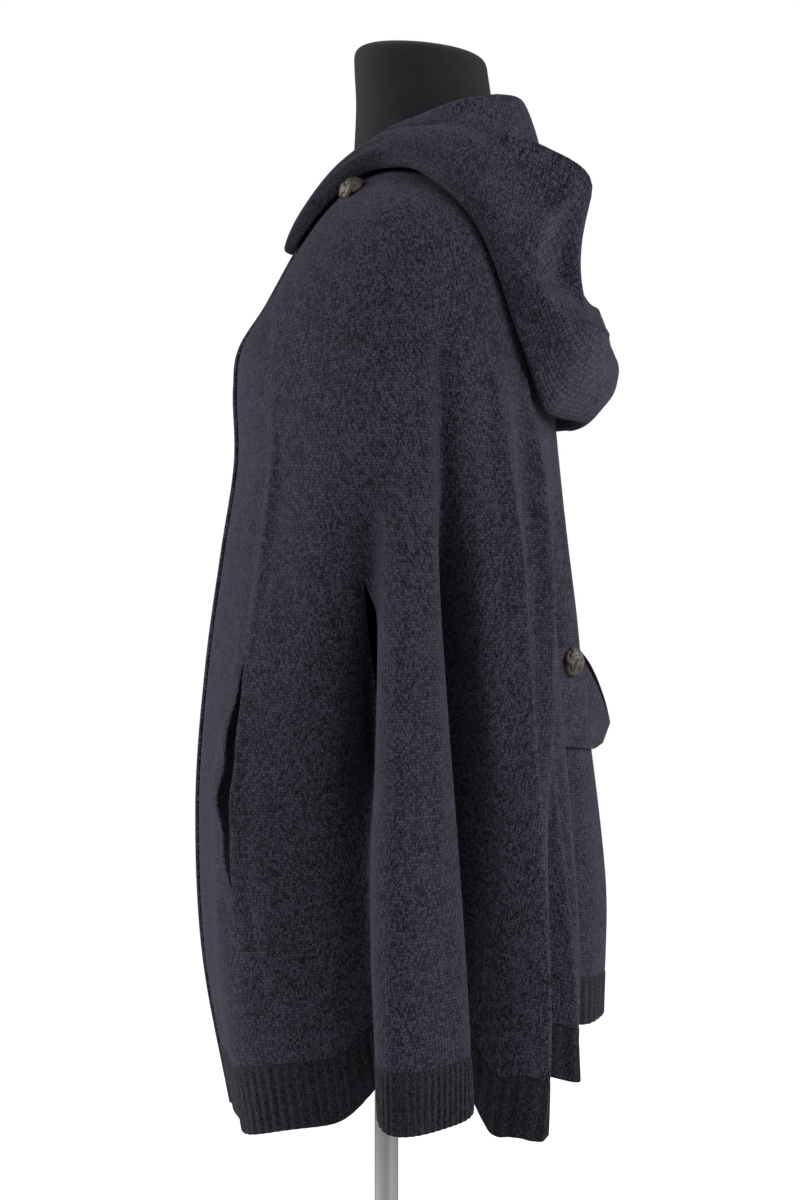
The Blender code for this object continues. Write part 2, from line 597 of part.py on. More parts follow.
def add_button(name, place, normal, finish, collection):
    """A domed, braided button: a flattened ball whose surface swells in crossing strands."""
    mesh = bpy.data.meshes.new(name)
    ball = bmesh.new()
    bmesh.ops.create_uvsphere(ball, u_segments=16, v_segments=8, radius=1.0)
    for vertex in ball.verts:
        turn = math.atan2(vertex.co.y, vertex.co.x)
        swell = 1 + BUTTON_SWELL * math.cos(BUTTON_STRANDS * turn) * math.cos(3 * math.asin(vertex.co.z))
        flat = Vector((vertex.co.x * BUTTON_RADIUS, vertex.co.y * BUTTON_RADIUS,
                       vertex.co.z * BUTTON_HEIGHT / 2))
        vertex.co = flat * swell if abs(vertex.co.z) < 0.9 else flat
    ball.to_mesh(mesh)
    ball.free()
    item = add_object(name, mesh, finish, collection)
    item.location = place + normal * (BUTTON_HEIGHT / 2 + BUTTON_SEAT)
    item.rotation_euler = normal.to_track_quat("Z", "Y").to_euler()
    return item


def on_surface(item, start, direction):
    """The point and the normal where a line from outside first meets an object's surface."""
    data = bmesh.new()
    data.from_mesh(item.data)
    tree = BVHTree.FromBMesh(data)
    place, normal, _, _ = tree.ray_cast(Vector(start), Vector(direction))
    data.free()
    return place, normal


# ---------------------------------------------------------------- dress form and stand

def add_form(finish, collection):
    """The padded form: a domed neck, shoulders that follow the inside of the cape, and a plain torso."""
    angle = np.linspace(0, 360, FORM_COLUMNS, endpoint=False)
    turn = np.radians(angle)
    rings = []
    for height, less in FORM_NECK_RINGS:
        x = (FORM_NECK_RADII[0] - less) * np.sin(turn)
        above = height - FORM_NECK_RINGS[-1][0]
        y = NECK_Y - (FORM_NECK_RADII[1] - less) * np.cos(turn) - NECK_LEAN * above
        slope = NECK_SLOPE * (y - NECK_Y + FORM_NECK_RADII[1]) * above / (NECK_TOP_Z - FORM_NECK_RINGS[-1][0])
        rings.append(np.stack((x, y, height - slope), axis=-1))
    for row in FORM_RINGS[:2]:
        rings.append(ring_points(np.tile(row, (FORM_COLUMNS, 1)), angle)[0])
    for fall in FORM_SHOULDER_FALLS:
        falls = np.full_like(angle, fall)
        skin = drape(angle, falls)
        rings.append(skin - (WALL + CLEARANCE) * facing(drape, angle, falls, 0.5, 0.01))
    for row in FORM_RINGS[2:]:
        rings.append(ring_points(np.tile(row, (FORM_COLUMNS, 1)), angle)[0])
    points = np.vstack(rings)
    quads = []
    for ring in range(len(rings) - 1):
        for column in range(FORM_COLUMNS):
            beside = (column + 1) % FORM_COLUMNS
            top, low = ring * FORM_COLUMNS, (ring + 1) * FORM_COLUMNS
            quads.append((top + column, low + column, low + beside, top + beside))
    faces = triangles_of(points, quads)
    faces.append(tuple(range(FORM_COLUMNS)))
    faces.append(tuple(range(len(points) - 1, len(points) - FORM_COLUMNS - 1, -1)))
    mesh = bpy.data.meshes.new("dress_form")
    mesh.from_pydata(points.tolist(), [], faces)
    return add_object("dress_form", mesh, finish, collection)


def add_round(name, radius, low, high, segments, finish, collection, bevel=0.0):
    """An upright round piece between two heights."""
    mesh = bpy.data.meshes.new(name)
    data = bmesh.new()
    bmesh.ops.create_cone(data, cap_ends=True, segments=segments, radius1=radius, radius2=radius,
                          depth=high - low, matrix=Matrix.Translation((0, 0, (low + high) / 2)))
    data.to_mesh(mesh)
    data.free()
    item = add_object(name, mesh, finish, collection)
    if bevel:
        edge = item.modifiers.new("edge", "BEVEL")
        edge.width = bevel
        edge.segments = 2
        edge.limit_method = "ANGLE"
        edge.angle_limit = math.radians(60)
    return item


# ---------------------------------------------------------------- the model

def main():
    for item in list(bpy.data.objects):
        bpy.data.objects.remove(item, do_unlink=True)
    model = bpy.data.collections.new("hooded_cape_cardigan")
    bpy.context.scene.collection.children.link(model)
    made = make_materials()
    knit, rib = made["charcoal_knit"], made["charcoal_rib"]
    right_pocket = dict(POCKET_SLIT, around=6 - POCKET_SLIT["around"])
    panels = (
        ("front_left", 0, 1, FRONT_COLUMNS, POCKET_SLIT),
        ("side_left", 1, 2, SIDE_COLUMNS, None),
        ("back", 2, 4, BACK_COLUMNS, None),
        ("side_right", 4, 5, SIDE_COLUMNS, None),
        ("front_right", 5, 6, FRONT_COLUMNS, right_pocket),
    )
    cape_panels = []
    for name, first, last, columns, slit in panels:
        cape_panels.append(add_panel(name, first, last, columns, knit, model, slit))
        add_hem("hem_" + name, first, last, columns, rib, model)
    tree = outer_tree(cape_panels)
    add_band("band_left", -1, 0, 0.0, rib, model)
    add_band("band_right", 6, 7, WALL + CLEARANCE, rib, model)
    add_hood("hood_left", HOOD_START, 180, knit, model, tree)
    add_hood("hood_right", 180, 360 - HOOD_START, knit, model, tree)
    belt = add_belt(knit, model, tree)

    leather = made["braided_leather"]
    for side, sign in (("left", 1), ("right", -1)):
        start = Vector((sign * BELT_BUTTON["x"], 1.0, BELT_BUTTON["z"]))
        place, normal = on_surface(belt, start, (0, -1, 0))
        add_button("belt_button_" + side, place, normal, leather, model)
    angle, fall = np.array(NECK_BUTTON["angle"]), np.array(NECK_BUTTON["fall"])
    place, normal = drape(angle, fall), facing(drape, angle, fall, 0.5, 0.01)
    add_button("neck_button", Vector(place), Vector(normal), leather, model)

    add_form(made["black_jersey"], model)
    add_round("pole", POLE_RADIUS, BASE_THICKNESS + SEAM_GAP, FORM_BOTTOM_Z - SEAM_GAP, 24,
              made["polished_steel"], model)
    add_round("base_plate", BASE_RADIUS, 0.0, BASE_THICKNESS, 48, made["brushed_steel"], model, BASE_BEVEL)


main()
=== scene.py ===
"""The looks of a hooded, knitted cape cardigan on a limbless dress form.

Metres, +Z up. The cardigan's front faces -Y and the wearer's left is +X. The cloth is one surface: a cape
that falls from the neck seam to the hem, and a hood that rises from the same seam and hangs down the back
as an open bag. Both are functions of how far a point lies around the wearer and how far it lies along the
cloth, worked out here on fine grids of the same named sizes as the solids, with creases and ribs added.
"""
import math
from collections import namedtuple

import bpy
import numpy as np
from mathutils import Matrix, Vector


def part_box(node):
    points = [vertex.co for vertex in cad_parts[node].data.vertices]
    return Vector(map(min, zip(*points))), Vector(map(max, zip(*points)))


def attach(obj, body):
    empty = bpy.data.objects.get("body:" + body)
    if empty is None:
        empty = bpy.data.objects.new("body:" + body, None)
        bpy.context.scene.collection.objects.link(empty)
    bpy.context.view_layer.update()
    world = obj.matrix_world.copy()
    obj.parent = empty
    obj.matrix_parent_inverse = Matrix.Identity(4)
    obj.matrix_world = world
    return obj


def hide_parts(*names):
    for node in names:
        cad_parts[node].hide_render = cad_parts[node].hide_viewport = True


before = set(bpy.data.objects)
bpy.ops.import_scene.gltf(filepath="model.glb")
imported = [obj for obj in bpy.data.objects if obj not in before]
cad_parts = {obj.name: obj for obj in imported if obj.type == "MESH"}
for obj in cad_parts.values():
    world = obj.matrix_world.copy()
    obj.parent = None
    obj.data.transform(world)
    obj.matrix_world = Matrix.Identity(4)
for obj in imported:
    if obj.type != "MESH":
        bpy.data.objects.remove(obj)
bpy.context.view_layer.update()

# ---------------------------------------------------------------- sizes

WALL = 0.0025               # thickness of the knitted wall
SEAM_GROOVE = 0.22          # how much of its rounding an edge keeps where it is sewn to another
STAND_GAP = 0.0003          # between the form, its pole and its base
CLEARANCE = 0.0004          # between cloth and what it lies on
HOOD_CLEARANCE = 0.0040     # the same under the hood
CUT_EDGE = 0.005            # added to a sheet's measured width and length, for its edges
BAND_WIDTH = 0.026          # overlapping bands down the centre front
BAND_RELIEF = 0.0009        # how far the ribs of the upper band stand out
BAND_RIBS = 4               # ribs across a band
BAND_COLUMNS = 33           # lines of the grid across a band
RIB_TOP = 0.945             # fall at which the hem's rib begins
RIB_PITCH = 0.0079          # from one rib of the hem to the next
RIB_RAISE = 0.0006          # how far a rib stands out, and how far the wall is sunk between two
RIB_INSIDE = 0.6            # share of it that stands out on the inside
RIB_SETTLE = 0.006          # fall over which the ribs grow out of the plain knit
RIB_COLUMNS = 8             # lines of the grid for each rib
RIB_FLANK = 2.4             # how steep the sides of a rib are
RIB_DIP = 0.16              # depth of the dip between its two wales, as a share of its height
RIB_DIP_WIDTH = 0.07        # half width of the dip, as a share of the pitch
MIDDLE_Y = 0.020            # where the cape's rings are widest
NECK_Y = 0.034              # axis of the neck, which the hood's sections turn about
EDGE_ROUND = 0.0016         # how far in from its edges a wall is rounded
EDGE_LEAST = 0.2            # share of the wall's thickness that is left at a rounded edge
EDGE_STEPS = (0.0004, 0.0010, 0.0018)   # lines of a grid that follow a rounded edge
CELL = 0.0045               # size of the grids' cells
FINE_CELL = 0.0028          # the same across the cape, where its creases are narrow
TALL_CELL = 0.0060          # the same down the cape
HOOD_CELL = 0.0036          # the same along the hood
HAIRLINE = 1e-6             # 'around' between a seam or a slit and the line of a grid beside it
ANGLE_STEP = 0.5            # degrees to either side over which the cape's slope is measured
FALL_STEP = 0.01            # the same up and down
FINE_STEP = 0.002           # the same for a panel's own grid, as 'around' and as fall
WIDTH_FALL = 0.6            # fall at which a panel's width is measured

# Slits in the cape, the same on both sides. 'around' is the place on the wearer's left, 'high' and 'low'
# are the falls of its ends. Its edges part by their gapes, which die away over 'reach' and stop at 'limit',
# both as 'around'.
Slit = namedtuple("Slit", "around high low front_gape rear_gape reach limit")
ARM_SLIT = Slit(1.00, 0.515, 0.745, 0.0070, 0.0130, 0.16, 1.0)
POCKET_SLIT = Slit(0.56, 0.600, 0.800, 0.0044, 0.0044, 0.10, 9.0)

# The lips of the hand slits stand out: how far in front of the slit and behind it, over what reach as
# 'around', and the powers and the ripple that shape them, as the function lips says.
LIP = {"front": 0.0075, "rear": 0.0022, "reach": 0.13, "steep": 1.5, "low_down": 1.6, "blunt": 0.8,
       "ripple": 0.35, "ripple_rate": 21.0, "ripple_start": 0.5}

NECK_TOP_Z = 1.490
FORM_BOTTOM_Z = 0.735
POLE_RADIUS = 0.0105
BASE_RADIUS = 0.180
BASE_THICKNESS = 0.010
BASE_CAP = 0.020            # radius of the flat face in the middle of its top and bottom

NECK_BUTTON = {"angle": 61.0, "fall": 0.045}
BUTTON_RADIUS = 0.0122
BUTTON_HEIGHT = 0.0100
# A button's strand: its half width and height, the middle and swing of its angle from the top, and how far
# it weaves in and out, as a share of its dome. The dome is 'across' and 'up' times the button's size, and
# its foot is 'foot' times the height under the button's middle. 'rings' of 'sides' points make the strand.
BRAID = {"half_width": 0.0023, "half_height": 0.0011, "tilt": 50.0, "swing": 36.0, "weave": 0.055,
         "across": 0.90, "up": 0.84, "foot": 0.38, "rings": 300, "sides": 10}
# The plain core under it, made of 'rings' of 'sides' points up to 'end' degrees.
CORE = {"across": 0.95, "up": 0.44, "end": 88.0, "rings": 20, "sides": 40}

# One row for each ring of the cape, from the neck seam down. Its front, side and back points.
Ring = namedtuple("Ring", "fall front_y front_z side_x side_z back_y back_z")
CAPE_RINGS = (
    Ring(0.00, -0.068, 1.318, 0.0750, 1.372, 0.1120, 1.388),
    Ring(0.06, -0.081, 1.297, 0.1220, 1.353, 0.1260, 1.345),
    Ring(0.13, -0.104, 1.255, 0.1700, 1.322, 0.1370, 1.290),
    Ring(0.20, -0.126, 1.220, 0.1930, 1.270, 0.1430, 1.235),
    Ring(0.28, -0.131, 1.185, 0.2030, 1.197, 0.1470, 1.170),
    Ring(0.38, -0.130, 1.123, 0.2160, 1.115, 0.1530, 1.105),
    Ring(0.50, -0.142, 1.040, 0.2340, 1.025, 0.1610, 1.030),
    Ring(0.62, -0.155, 0.945, 0.2500, 0.930, 0.1690, 0.940),
    Ring(0.76, -0.164, 0.815, 0.2640, 0.808, 0.1790, 0.825),
    Ring(0.88, -0.158, 0.690, 0.2740, 0.695, 0.1840, 0.731),
    Ring(1.00, -0.134, 0.560, 0.2800, 0.588, 0.1820, 0.646),
)
CAPE_LENGTH = 0.87          # along the cloth from the neck seam to the hem
FADE_OVER = 0.35            # fall over which a fold that ends dies away
DROP_START = 0.55           # fall from which a fold pulls the cloth down

# One row for each large fold on the wearer's left. 'high' and 'low' are its angles at the neck and at the
# hem, 0 at the centre front and 180 at the centre back. It grows from 'start' to 'full' and is gone at
# 'fade', or runs on to the hem where that is past 1. 'reach' is how far it stands out (a hollow is
# negative), 'drop' how far it pulls the hem down, 'lean' how far its crest is pushed to the back. The fold
# on the right is turned by 'twin_turn' degrees and scaled by 'twin_share'.
Fold = namedtuple("Fold", "high low width start full fade reach drop lean twin_turn twin_share")
FOLDS = (
    Fold(44, 39, 10.0, 0.42, 0.80, 9.0, 0.014, 0.006, 0.000, 3, 0.80),
    Fold(60, 60, 9.0, 0.50, 0.95, 9.0, -0.010, 0.000, 0.000, -4, 1.15),
    Fold(76, 73, 7.4, 0.38, 0.74, 9.0, -0.046, -0.030, 0.000, 2, 0.90),
    Fold(89, 89, 9.5, 0.36, 0.78, 9.0, 0.022, 0.002, -0.006, 3, 0.85),
    Fold(97, 119, 7.3, 0.22, 0.70, 9.0, -0.046, -0.010, 0.000, -3, 0.92),
    Fold(114, 125, 6.0, 0.40, 0.85, 9.0, 0.008, 0.021, 0.000, -2, 0.90),
    Fold(119.5, 121.4, 2.6, 0.40, 0.85, 9.0, 0.000, 0.020, 0.000, -2, 0.90),
    Fold(125, 127, 4.5, 0.22, 0.36, 0.82, 0.007, 0.000, 0.000, 2, 1.10),
    Fold(145, 128, 5.0, 0.28, 0.52, 9.0, 0.007, 0.026, 0.000, -2, 0.90),
    Fold(147, 137, 5.4, 0.50, 0.84, 9.0, -0.018, 0.000, 0.000, -1, 0.80),
    Fold(153, 144, 5.5, 0.60, 0.92, 9.0, 0.007, 0.020, 0.000, 1, 1.00),
    Fold(159, 154, 5.0, 0.32, 0.60, 9.0, -0.017, -0.008, 0.000, -1, 1.05),
    Fold(170, 170, 7.0, 0.60, 0.90, 9.0, 0.008, 0.000, 0.000, 2, 0.90),
)

LINE_ENDS = 0.25            # share of a crease's length over which each of its ends dies away

# One row for each soft crease of the cape: a shallow ridge (or, negative, a trough) along a line from
# (angle, fall) to (angle, fall), bowed sideways by 'bow' degrees. 'width' and 'far' are its half widths in
# degrees towards lower and towards higher angles: where one is small, the crest turns over sharply there.
# A line whose fall goes past 1 runs off the hem. Angles over 180 are on the wearer's right.
Crease = namedtuple("Crease", "angle fall to_angle to_fall bow width far out")
CAPE_CREASES = (
    Crease(35, 0.50, 46, 0.98, 3, 2.2, 2.2, 0.0020),
    Crease(49, 0.46, 54, 0.93, -3, 2.6, 2.6, 0.0024),
    Crease(64, 0.40, 66, 0.60, 2, 2.4, 2.4, -0.0018),
    Crease(63, 0.40, 60, 1.45, 2, 8.0, 8.0, -0.0110),
    Crease(76, 0.38, 73, 0.80, 1, 7.5, 7.5, -0.0160),
    Crease(84, 0.45, 82, 0.97, -1, 2.2, 2.2, 0.0018),
    Crease(96, 0.30, 98, 0.86, 2, 2.0, 2.0, 0.0016),
    Crease(103, 0.20, 111, 0.66, -2, 4.6, 4.6, -0.0090),
    Crease(106, 0.38, 119, 1.25, 1, 3.2, 3.2, -0.0130),
    Crease(112, 0.34, 116, 0.74, 2, 2.0, 2.0, 0.0015),
    Crease(122.6, 0.24, 129.6, 1.30, 1, 3.4, 1.1, 0.0085),
    Crease(139.4, 0.24, 133.0, 0.76, 2, 3.4, 1.1, 0.0095),
    Crease(141.9, 0.26, 142.6, 0.48, 1, 0.9, 0.9, -0.0060),
    Crease(141.4, 0.60, 145.0, 1.40, 0, 3.4, 1.1, 0.0080),
    Crease(115.8, 0.44, 120.2, 1.40, 0, 2.2, 5.0, 0.0100),
    Crease(41.2, 0.28, 45.0, 0.86, 1, 3.0, 2.0, 0.0050),
    Crease(163, 0.34, 166, 0.80, 2, 2.4, 2.4, 0.0018),
    Crease(176, 0.46, 174, 0.96, -3, 2.6, 2.6, 0.0020),
    Crease(26, 0.10, 38, 0.30, 4, 3.0, 3.0, -0.0014),
    Crease(184, 0.40, 187, 0.90, 2, 2.4, 2.4, 0.0018),
    Crease(196, 0.30, 199, 0.66, -3, 2.2, 2.2, -0.0016),
    Crease(222.0, 0.28, 227.0, 0.80, -2, 1.1, 3.6, 0.0085),
    Crease(237.0, 0.24, 231.0, 1.30, -1, 1.1, 3.6, 0.0080),
    Crease(244.0, 0.46, 240.0, 1.40, 0, 4.6, 2.2, 0.0080),
    Crease(319.0, 0.30, 315.0, 0.90, -1, 2.0, 3.0, 0.0045),
    Crease(252, 0.24, 249, 0.60, 3, 2.4, 2.4, -0.0020),
    Crease(268, 0.34, 272, 0.84, 2, 2.2, 2.2, 0.0018),
    Crease(279, 0.50, 277, 0.98, -2, 2.0, 2.0, 0.0017),
    Crease(296, 0.42, 293, 0.62, 2, 2.4, 2.4, -0.0018),
    Crease(306, 0.48, 309, 0.94, 3, 2.4, 2.4, 0.0022),
    Crease(326, 0.52, 317, 0.98, -2, 2.2, 2.2, 0.0018),
    Crease(335, 0.12, 322, 0.32, -3, 3.0, 3.0, -0.0014),
)

# Where the seams of the cape run: their angles on the wearer's left at a few falls.
Seam = namedtuple("Seam", "fall front_side side_back")
SEAMS = (
    Seam(0.00, 50.0, 128.0),
    Seam(0.15, 54.0, 132.0),
    Seam(0.35, 64.0, 138.0),
    Seam(0.53, 73.5, 140.0),
    Seam(0.75, 76.0, 139.0),
    Seam(1.00, 77.0, 138.0),
)

# One row for each section of the hood, as planes through the neck's axis, from the throat to the centre
# back. The cloth rises from the neck seam to the roll, turns over it past the nape, goes down inside the
# bag to its lowest line, and comes up the outside over the belly and the waist to the free rim. Each is a
# reach from the axis and a height.
Section = namedtuple(
    "Section", "angle roll_r roll_z nape_r nape_z inside_r inside_z low_r low_z"
    " belly_r belly_z waist_r waist_z rim_r rim_z")
HOOD_SECTIONS = (
    Section(2, .104, 1.328, .108, 1.328, .1095, 1.317, .116, 1.304, .1235, 1.307, .1235, 1.311, .121, 1.315),
    Section(17, .097, 1.341, .101, 1.342, .1045, 1.331, .111, 1.317, .1185, 1.325, .1165, 1.332, .112, 1.338),
    Section(37, .083, 1.368, .088, 1.369, .094, 1.356, .103, 1.341, .1115, 1.354, .106, 1.364, .097, 1.37),
    Section(54, .078, 1.386, .084, 1.388, .092, 1.373, .103, 1.359, .1115, 1.371, .106, 1.38, .097, 1.386),
    Section(72, .077, 1.401, .085, 1.402, .095, 1.381, .108, 1.364, .117, 1.378, .111, 1.391, .101, 1.397),
    Section(90, .078, 1.412, .088, 1.408, .105, 1.378, .137, 1.352, .146, 1.371, .131, 1.391, .109, 1.399),
    Section(105, .08, 1.421, .091, 1.411, .122, 1.363, .167, 1.303, .176, 1.335, .156, 1.375, .126, 1.398),
    Section(118, .081, 1.427, .092, 1.412, .137, 1.335, .17, 1.207, .182, 1.275, .167, 1.34, .146, 1.388),
    Section(128, .081, 1.43, .093, 1.411, .135, 1.301, .156, 1.163, .18, 1.23, .166, 1.31, .164, 1.377),
    Section(139, .082, 1.433, .094, 1.41, .129, 1.272, .147, 1.154, .178, 1.21, .162, 1.287, .184, 1.349),
    Section(146, .082, 1.434, .0945, 1.409, .125, 1.258, .1445, 1.153, .175, 1.205, .159, 1.265, .16, 1.318),
    Section(154, .0825, 1.435, .095, 1.408, .121, 1.245, .143, 1.153, .171, 1.2, .154, 1.25, .14, 1.285),
    Section(165, .083, 1.436, .0955, 1.407, .1195, 1.24, .142, 1.153, .17, 1.198, .156, 1.238, .144, 1.262),
    Section(180, .084, 1.436, .096, 1.407, .1185, 1.24, .141, 1.155, .17, 1.198, .161, 1.234, .153, 1.256),
)
HOOD_START = 2.0            # angle at which each half of the hood begins, at the throat
HOOD_RISES = (0.00, 0.12, 0.20, 0.42, 0.62, 0.76, 0.88, 1.00)   # where those lines lie along the cloth
HOOD_FOOT = 0.002           # rise of its lowest line
HOOD_FREE = (0.20, 0.28)    # rises between which it comes clear of the neck and begins to lie on the cape
HOOD_DEGREE = 0.0026        # metres round it to a degree
HOOD_LENGTH = 0.42          # metres along it from the neck seam to the rim
UPPER_ROWS = 46             # rows of the panels' grids that the hood lies over

BOW_RISE = 0.004            # rise for one unit of a pleat's bow

# Soft folds of the hood, as the cape's creases but lying round it: lines from (angle, rise) to (angle,
# rise), bowed towards the rim by 'bow', with half widths as rises before and past them.
Pleat = namedtuple("Pleat", "angle rise to_angle to_rise bow width far out")
HOOD_PLEATS = (
    Pleat(110, 0.705, 154, 0.810, 2, 0.034, 0.015, 0.0150),
    Pleat(138, 0.99, 114, 0.750, 3, 0.022, 0.026, 0.0110),
    Pleat(120, 0.810, 148, 0.880, 2, 0.032, 0.032, -0.0170),
    Pleat(98, 0.800, 122, 0.900, 3, 0.034, 0.034, -0.0022),
    Pleat(150, 0.66, 176, 0.72, 3, 0.030, 0.030, 0.0028),
    Pleat(40, 0.78, 84, 0.86, 3, 0.035, 0.035, -0.0014),
    Pleat(168, 0.84, 186, 0.80, 2, 0.030, 0.030, -0.0024),
    Pleat(246, 0.66, 214, 0.84, -4, 0.030, 0.030, 0.0075),
    Pleat(230, 0.96, 249, 0.78, -3, 0.028, 0.028, 0.0060),
    Pleat(258, 0.72, 234, 0.80, -3, 0.030, 0.030, -0.0052),
    Pleat(208, 0.65, 190, 0.70, -3, 0.030, 0.030, 0.0026),
    Pleat(318, 0.78, 272, 0.85, -3, 0.035, 0.035, -0.0014),
)

BELT_GRID = (90, 36)        # lines across and down the half-belt

# The half-belt across the back: one row for each upright line on it, from its right end to its left.
BeltLine = namedtuple("BeltLine", "x top_y top_z low_y low_z")
BELT_LINES = (
    BeltLine(-0.112, 0.1400, 0.964, 0.1400, 0.880),
    BeltLine(-0.090, 0.1600, 0.966, 0.1570, 0.878),
    BeltLine(-0.060, 0.1800, 0.946, 0.1780, 0.875),
    BeltLine(-0.030, 0.1910, 0.917, 0.1880, 0.877),
    BeltLine(0.000, 0.1950, 0.894, 0.1880, 0.875),
    BeltLine(0.030, 0.1870, 0.912, 0.1840, 0.874),
    BeltLine(0.060, 0.1730, 0.940, 0.1750, 0.872),
    BeltLine(0.090, 0.1560, 0.960, 0.1560, 0.875),
    BeltLine(0.112, 0.1400, 0.962, 0.1400, 0.878),
)

# The dress form: its neck as (height, inset) rings, and the rings of its neck's root and torso. Between
# them its shoulders follow the inside of the cape at a few falls.
FORM_COLUMNS = 120
FORM_SMOOTHING = 6          # rings made for each one given
FORM_NECK_RADII = (0.0560, 0.0610)
FORM_NECK_RINGS = ((1.4894, 0.026), (1.4882, 0.015), (1.4845, 0.007), (1.4780, 0.003), (1.4640, 0.002),
                   (1.4250, 0.0))
NECK_SLOPE = 0.09           # how far the neck's top falls away to the back, per metre
NECK_LEAN = 0.08            # how far it leans forwards, per metre above its foot
FORM_ROOT = (
    Ring(0.00, -0.0330, 1.355, 0.0585, 1.389, 0.0975, 1.418),
    Ring(0.01, -0.0500, 1.330, 0.0635, 1.3715, 0.1035, 1.400),
)
FORM_SHOULDER_FALLS = (0.03, 0.06, 0.095, 0.13)
FORM_TORSO = (
    Ring(0.20, -0.1205, 1.218, 0.1720, 1.266, 0.1385, 1.235),
    Ring(0.30, -0.1250, 1.180, 0.1640, 1.200, 0.1400, 1.175),
    Ring(0.38, -0.1190, 1.125, 0.1500, 1.130, 0.1300, 1.120),
    Ring(0.50, -0.0980, 1.040, 0.1310, 1.040, 0.1080, 1.040),
    Ring(0.60, -0.0950, 0.970, 0.1360, 0.970, 0.1080, 0.970),
    Ring(0.72, -0.1060, 0.890, 0.1620, 0.890, 0.1320, 0.890),
    Ring(0.86, -0.1080, 0.800, 0.1740, 0.800, 0.1430, 0.800),
    Ring(1.00, -0.0980, FORM_BOTTOM_Z, 0.1640, FORM_BOTTOM_Z, 0.1320, FORM_BOTTOM_Z),
)

# The camera looks level along -X, at the wearer's left side.
CAMERA_AT = (2.4, 0.0119, 1.0)
VIEW_HEIGHT = 1.056         # height of the picture in the plane of the pole
STAGE_REACH = 9.0           # radius of the floor
WORLD_FILL = 0.02           # strength of the surround where it lights the object

# Soft boxes that all face one point on the pole's axis, with their power in watts.
LIGHT_AIM = (0.0, 0.0, 1.0)
LIGHT_SIZE = (1.0, 1.8)
Light = namedtuple("Light", "name x y z power")
LIGHTS = (
    Light("front_side", 1.65, -2.00, 2.2, 34.0),
    Light("back_side", 1.30, 2.25, 2.2, 48.0),
    Light("back_fill", 2.00, 1.67, 2.2, 16.0),
    Light("rim_front", -0.67, -2.51, 1.9, 54.0),
    Light("rim_back", -0.90, 2.40, 1.9, 26.0),
)


# ---------------------------------------------------------------- curves

def cubic(first, second, first_slope, second_slope, part, step):
    """A cubic between two values with the given slopes at them; 'part' goes from 0 to 1 over the step."""
    start_weight = 2 * part**3 - 3 * part**2 + 1
    value = start_weight * first + (1 - start_weight) * second
    value = value + (part**3 - 2 * part**2 + part) * step * first_slope
    return value + (part**3 - part**2) * step * second_slope


def find_step(keys, at):
    """For each value: the number of the key under it, its part of the way to the next key, and the step
    between the two."""
    low = np.clip(np.searchsorted(keys, at, side="right") - 1, 0, len(keys) - 2)
    step = (keys[low + 1] - keys[low])[..., None]
    return low, (at[..., None] - keys[low][..., None]) / step, step


def smooth_rows(table, at):
    """Read a table at values of its first column: between two rows every column follows a cubic whose
    slopes at the rows are those of the parabola through their neighbours."""
    rows = np.array(table, dtype=float)
    keys = rows[:, 0]
    slopes = np.gradient(rows, keys, axis=0)
    low, part, step = find_step(keys, np.clip(at, keys[0], keys[-1]))
    return cubic(rows[low], rows[low + 1], slopes[low], slopes[low + 1], part, step)


def ease(value):
    """Rise from 0 to 1 with level ends: 3v^2 - 2v^3 of the value held between 0 and 1."""
    value = np.clip(value, 0.0, 1.0)
    return value * value * (3 - 2 * value)


def unit(vectors):
    """Vectors scaled to a length of 1."""
    return vectors / np.maximum(np.linalg.norm(vectors, axis=-1, keepdims=True), 1e-12)


def line_swell(along, aside, start, end, bow, widths):
    """A soft swell along a line on a surface, from 0 to 1. 'start' and 'end' are (along, aside). Over the
    distance aside of the line, which is bowed by a sine, it is a bell curve with a width of its own on
    either side, and it rises and falls smoothly at the line's two ends."""
    part = (along - start[0]) / (end[0] - start[0])
    inside = ease(part / LINE_ENDS) * ease((1 - part) / LINE_ENDS)
    off = aside - (start[1] + part * (end[1] - start[1])) - bow * np.sin(math.pi * np.clip(part, 0, 1))
    off = off / np.where(off < 0, *widths)
    return inside * np.exp(-off**2)


# ---------------------------------------------------------------- the cloth's surface

def ring_points(ring, angle):
    """Points of an oval ring: x = half width times the sine, y = middle - reach times the cosine, and a
    height that goes from the side's to the front's or back's with the cosine squared."""
    turn = np.radians(angle)
    sine, cosine = np.sin(turn), np.cos(turn)
    front = cosine > 0
    end_y = np.where(front, ring[..., 1], ring[..., 5])
    end_z = np.where(front, ring[..., 2], ring[..., 6])
    reach = np.abs(end_y - MIDDLE_Y)
    x = ring[..., 3] * sine
    y = MIDDLE_Y - reach * cosine
    z = ring[..., 4] + (end_z - ring[..., 4]) * cosine**2
    outward = unit(np.stack((sine * reach, -cosine * ring[..., 3]), axis=-1))
    return np.stack((x, y, z), axis=-1), outward


def all_folds():
    """The folds of both sides as (high, low, width, start, full, fade, reach, drop, lean) rows."""
    rows = []
    for fold in FOLDS:
        rows.append(fold[:9])
        share = fold.twin_share
        high, low = 360 - fold.high + fold.twin_turn, 360 - fold.low + fold.twin_turn
        rows.append((high, low, fold.width, fold.start, fold.full, fold.fade,
                     fold.reach * share, fold.drop * share, -fold.lean * share))
    return rows


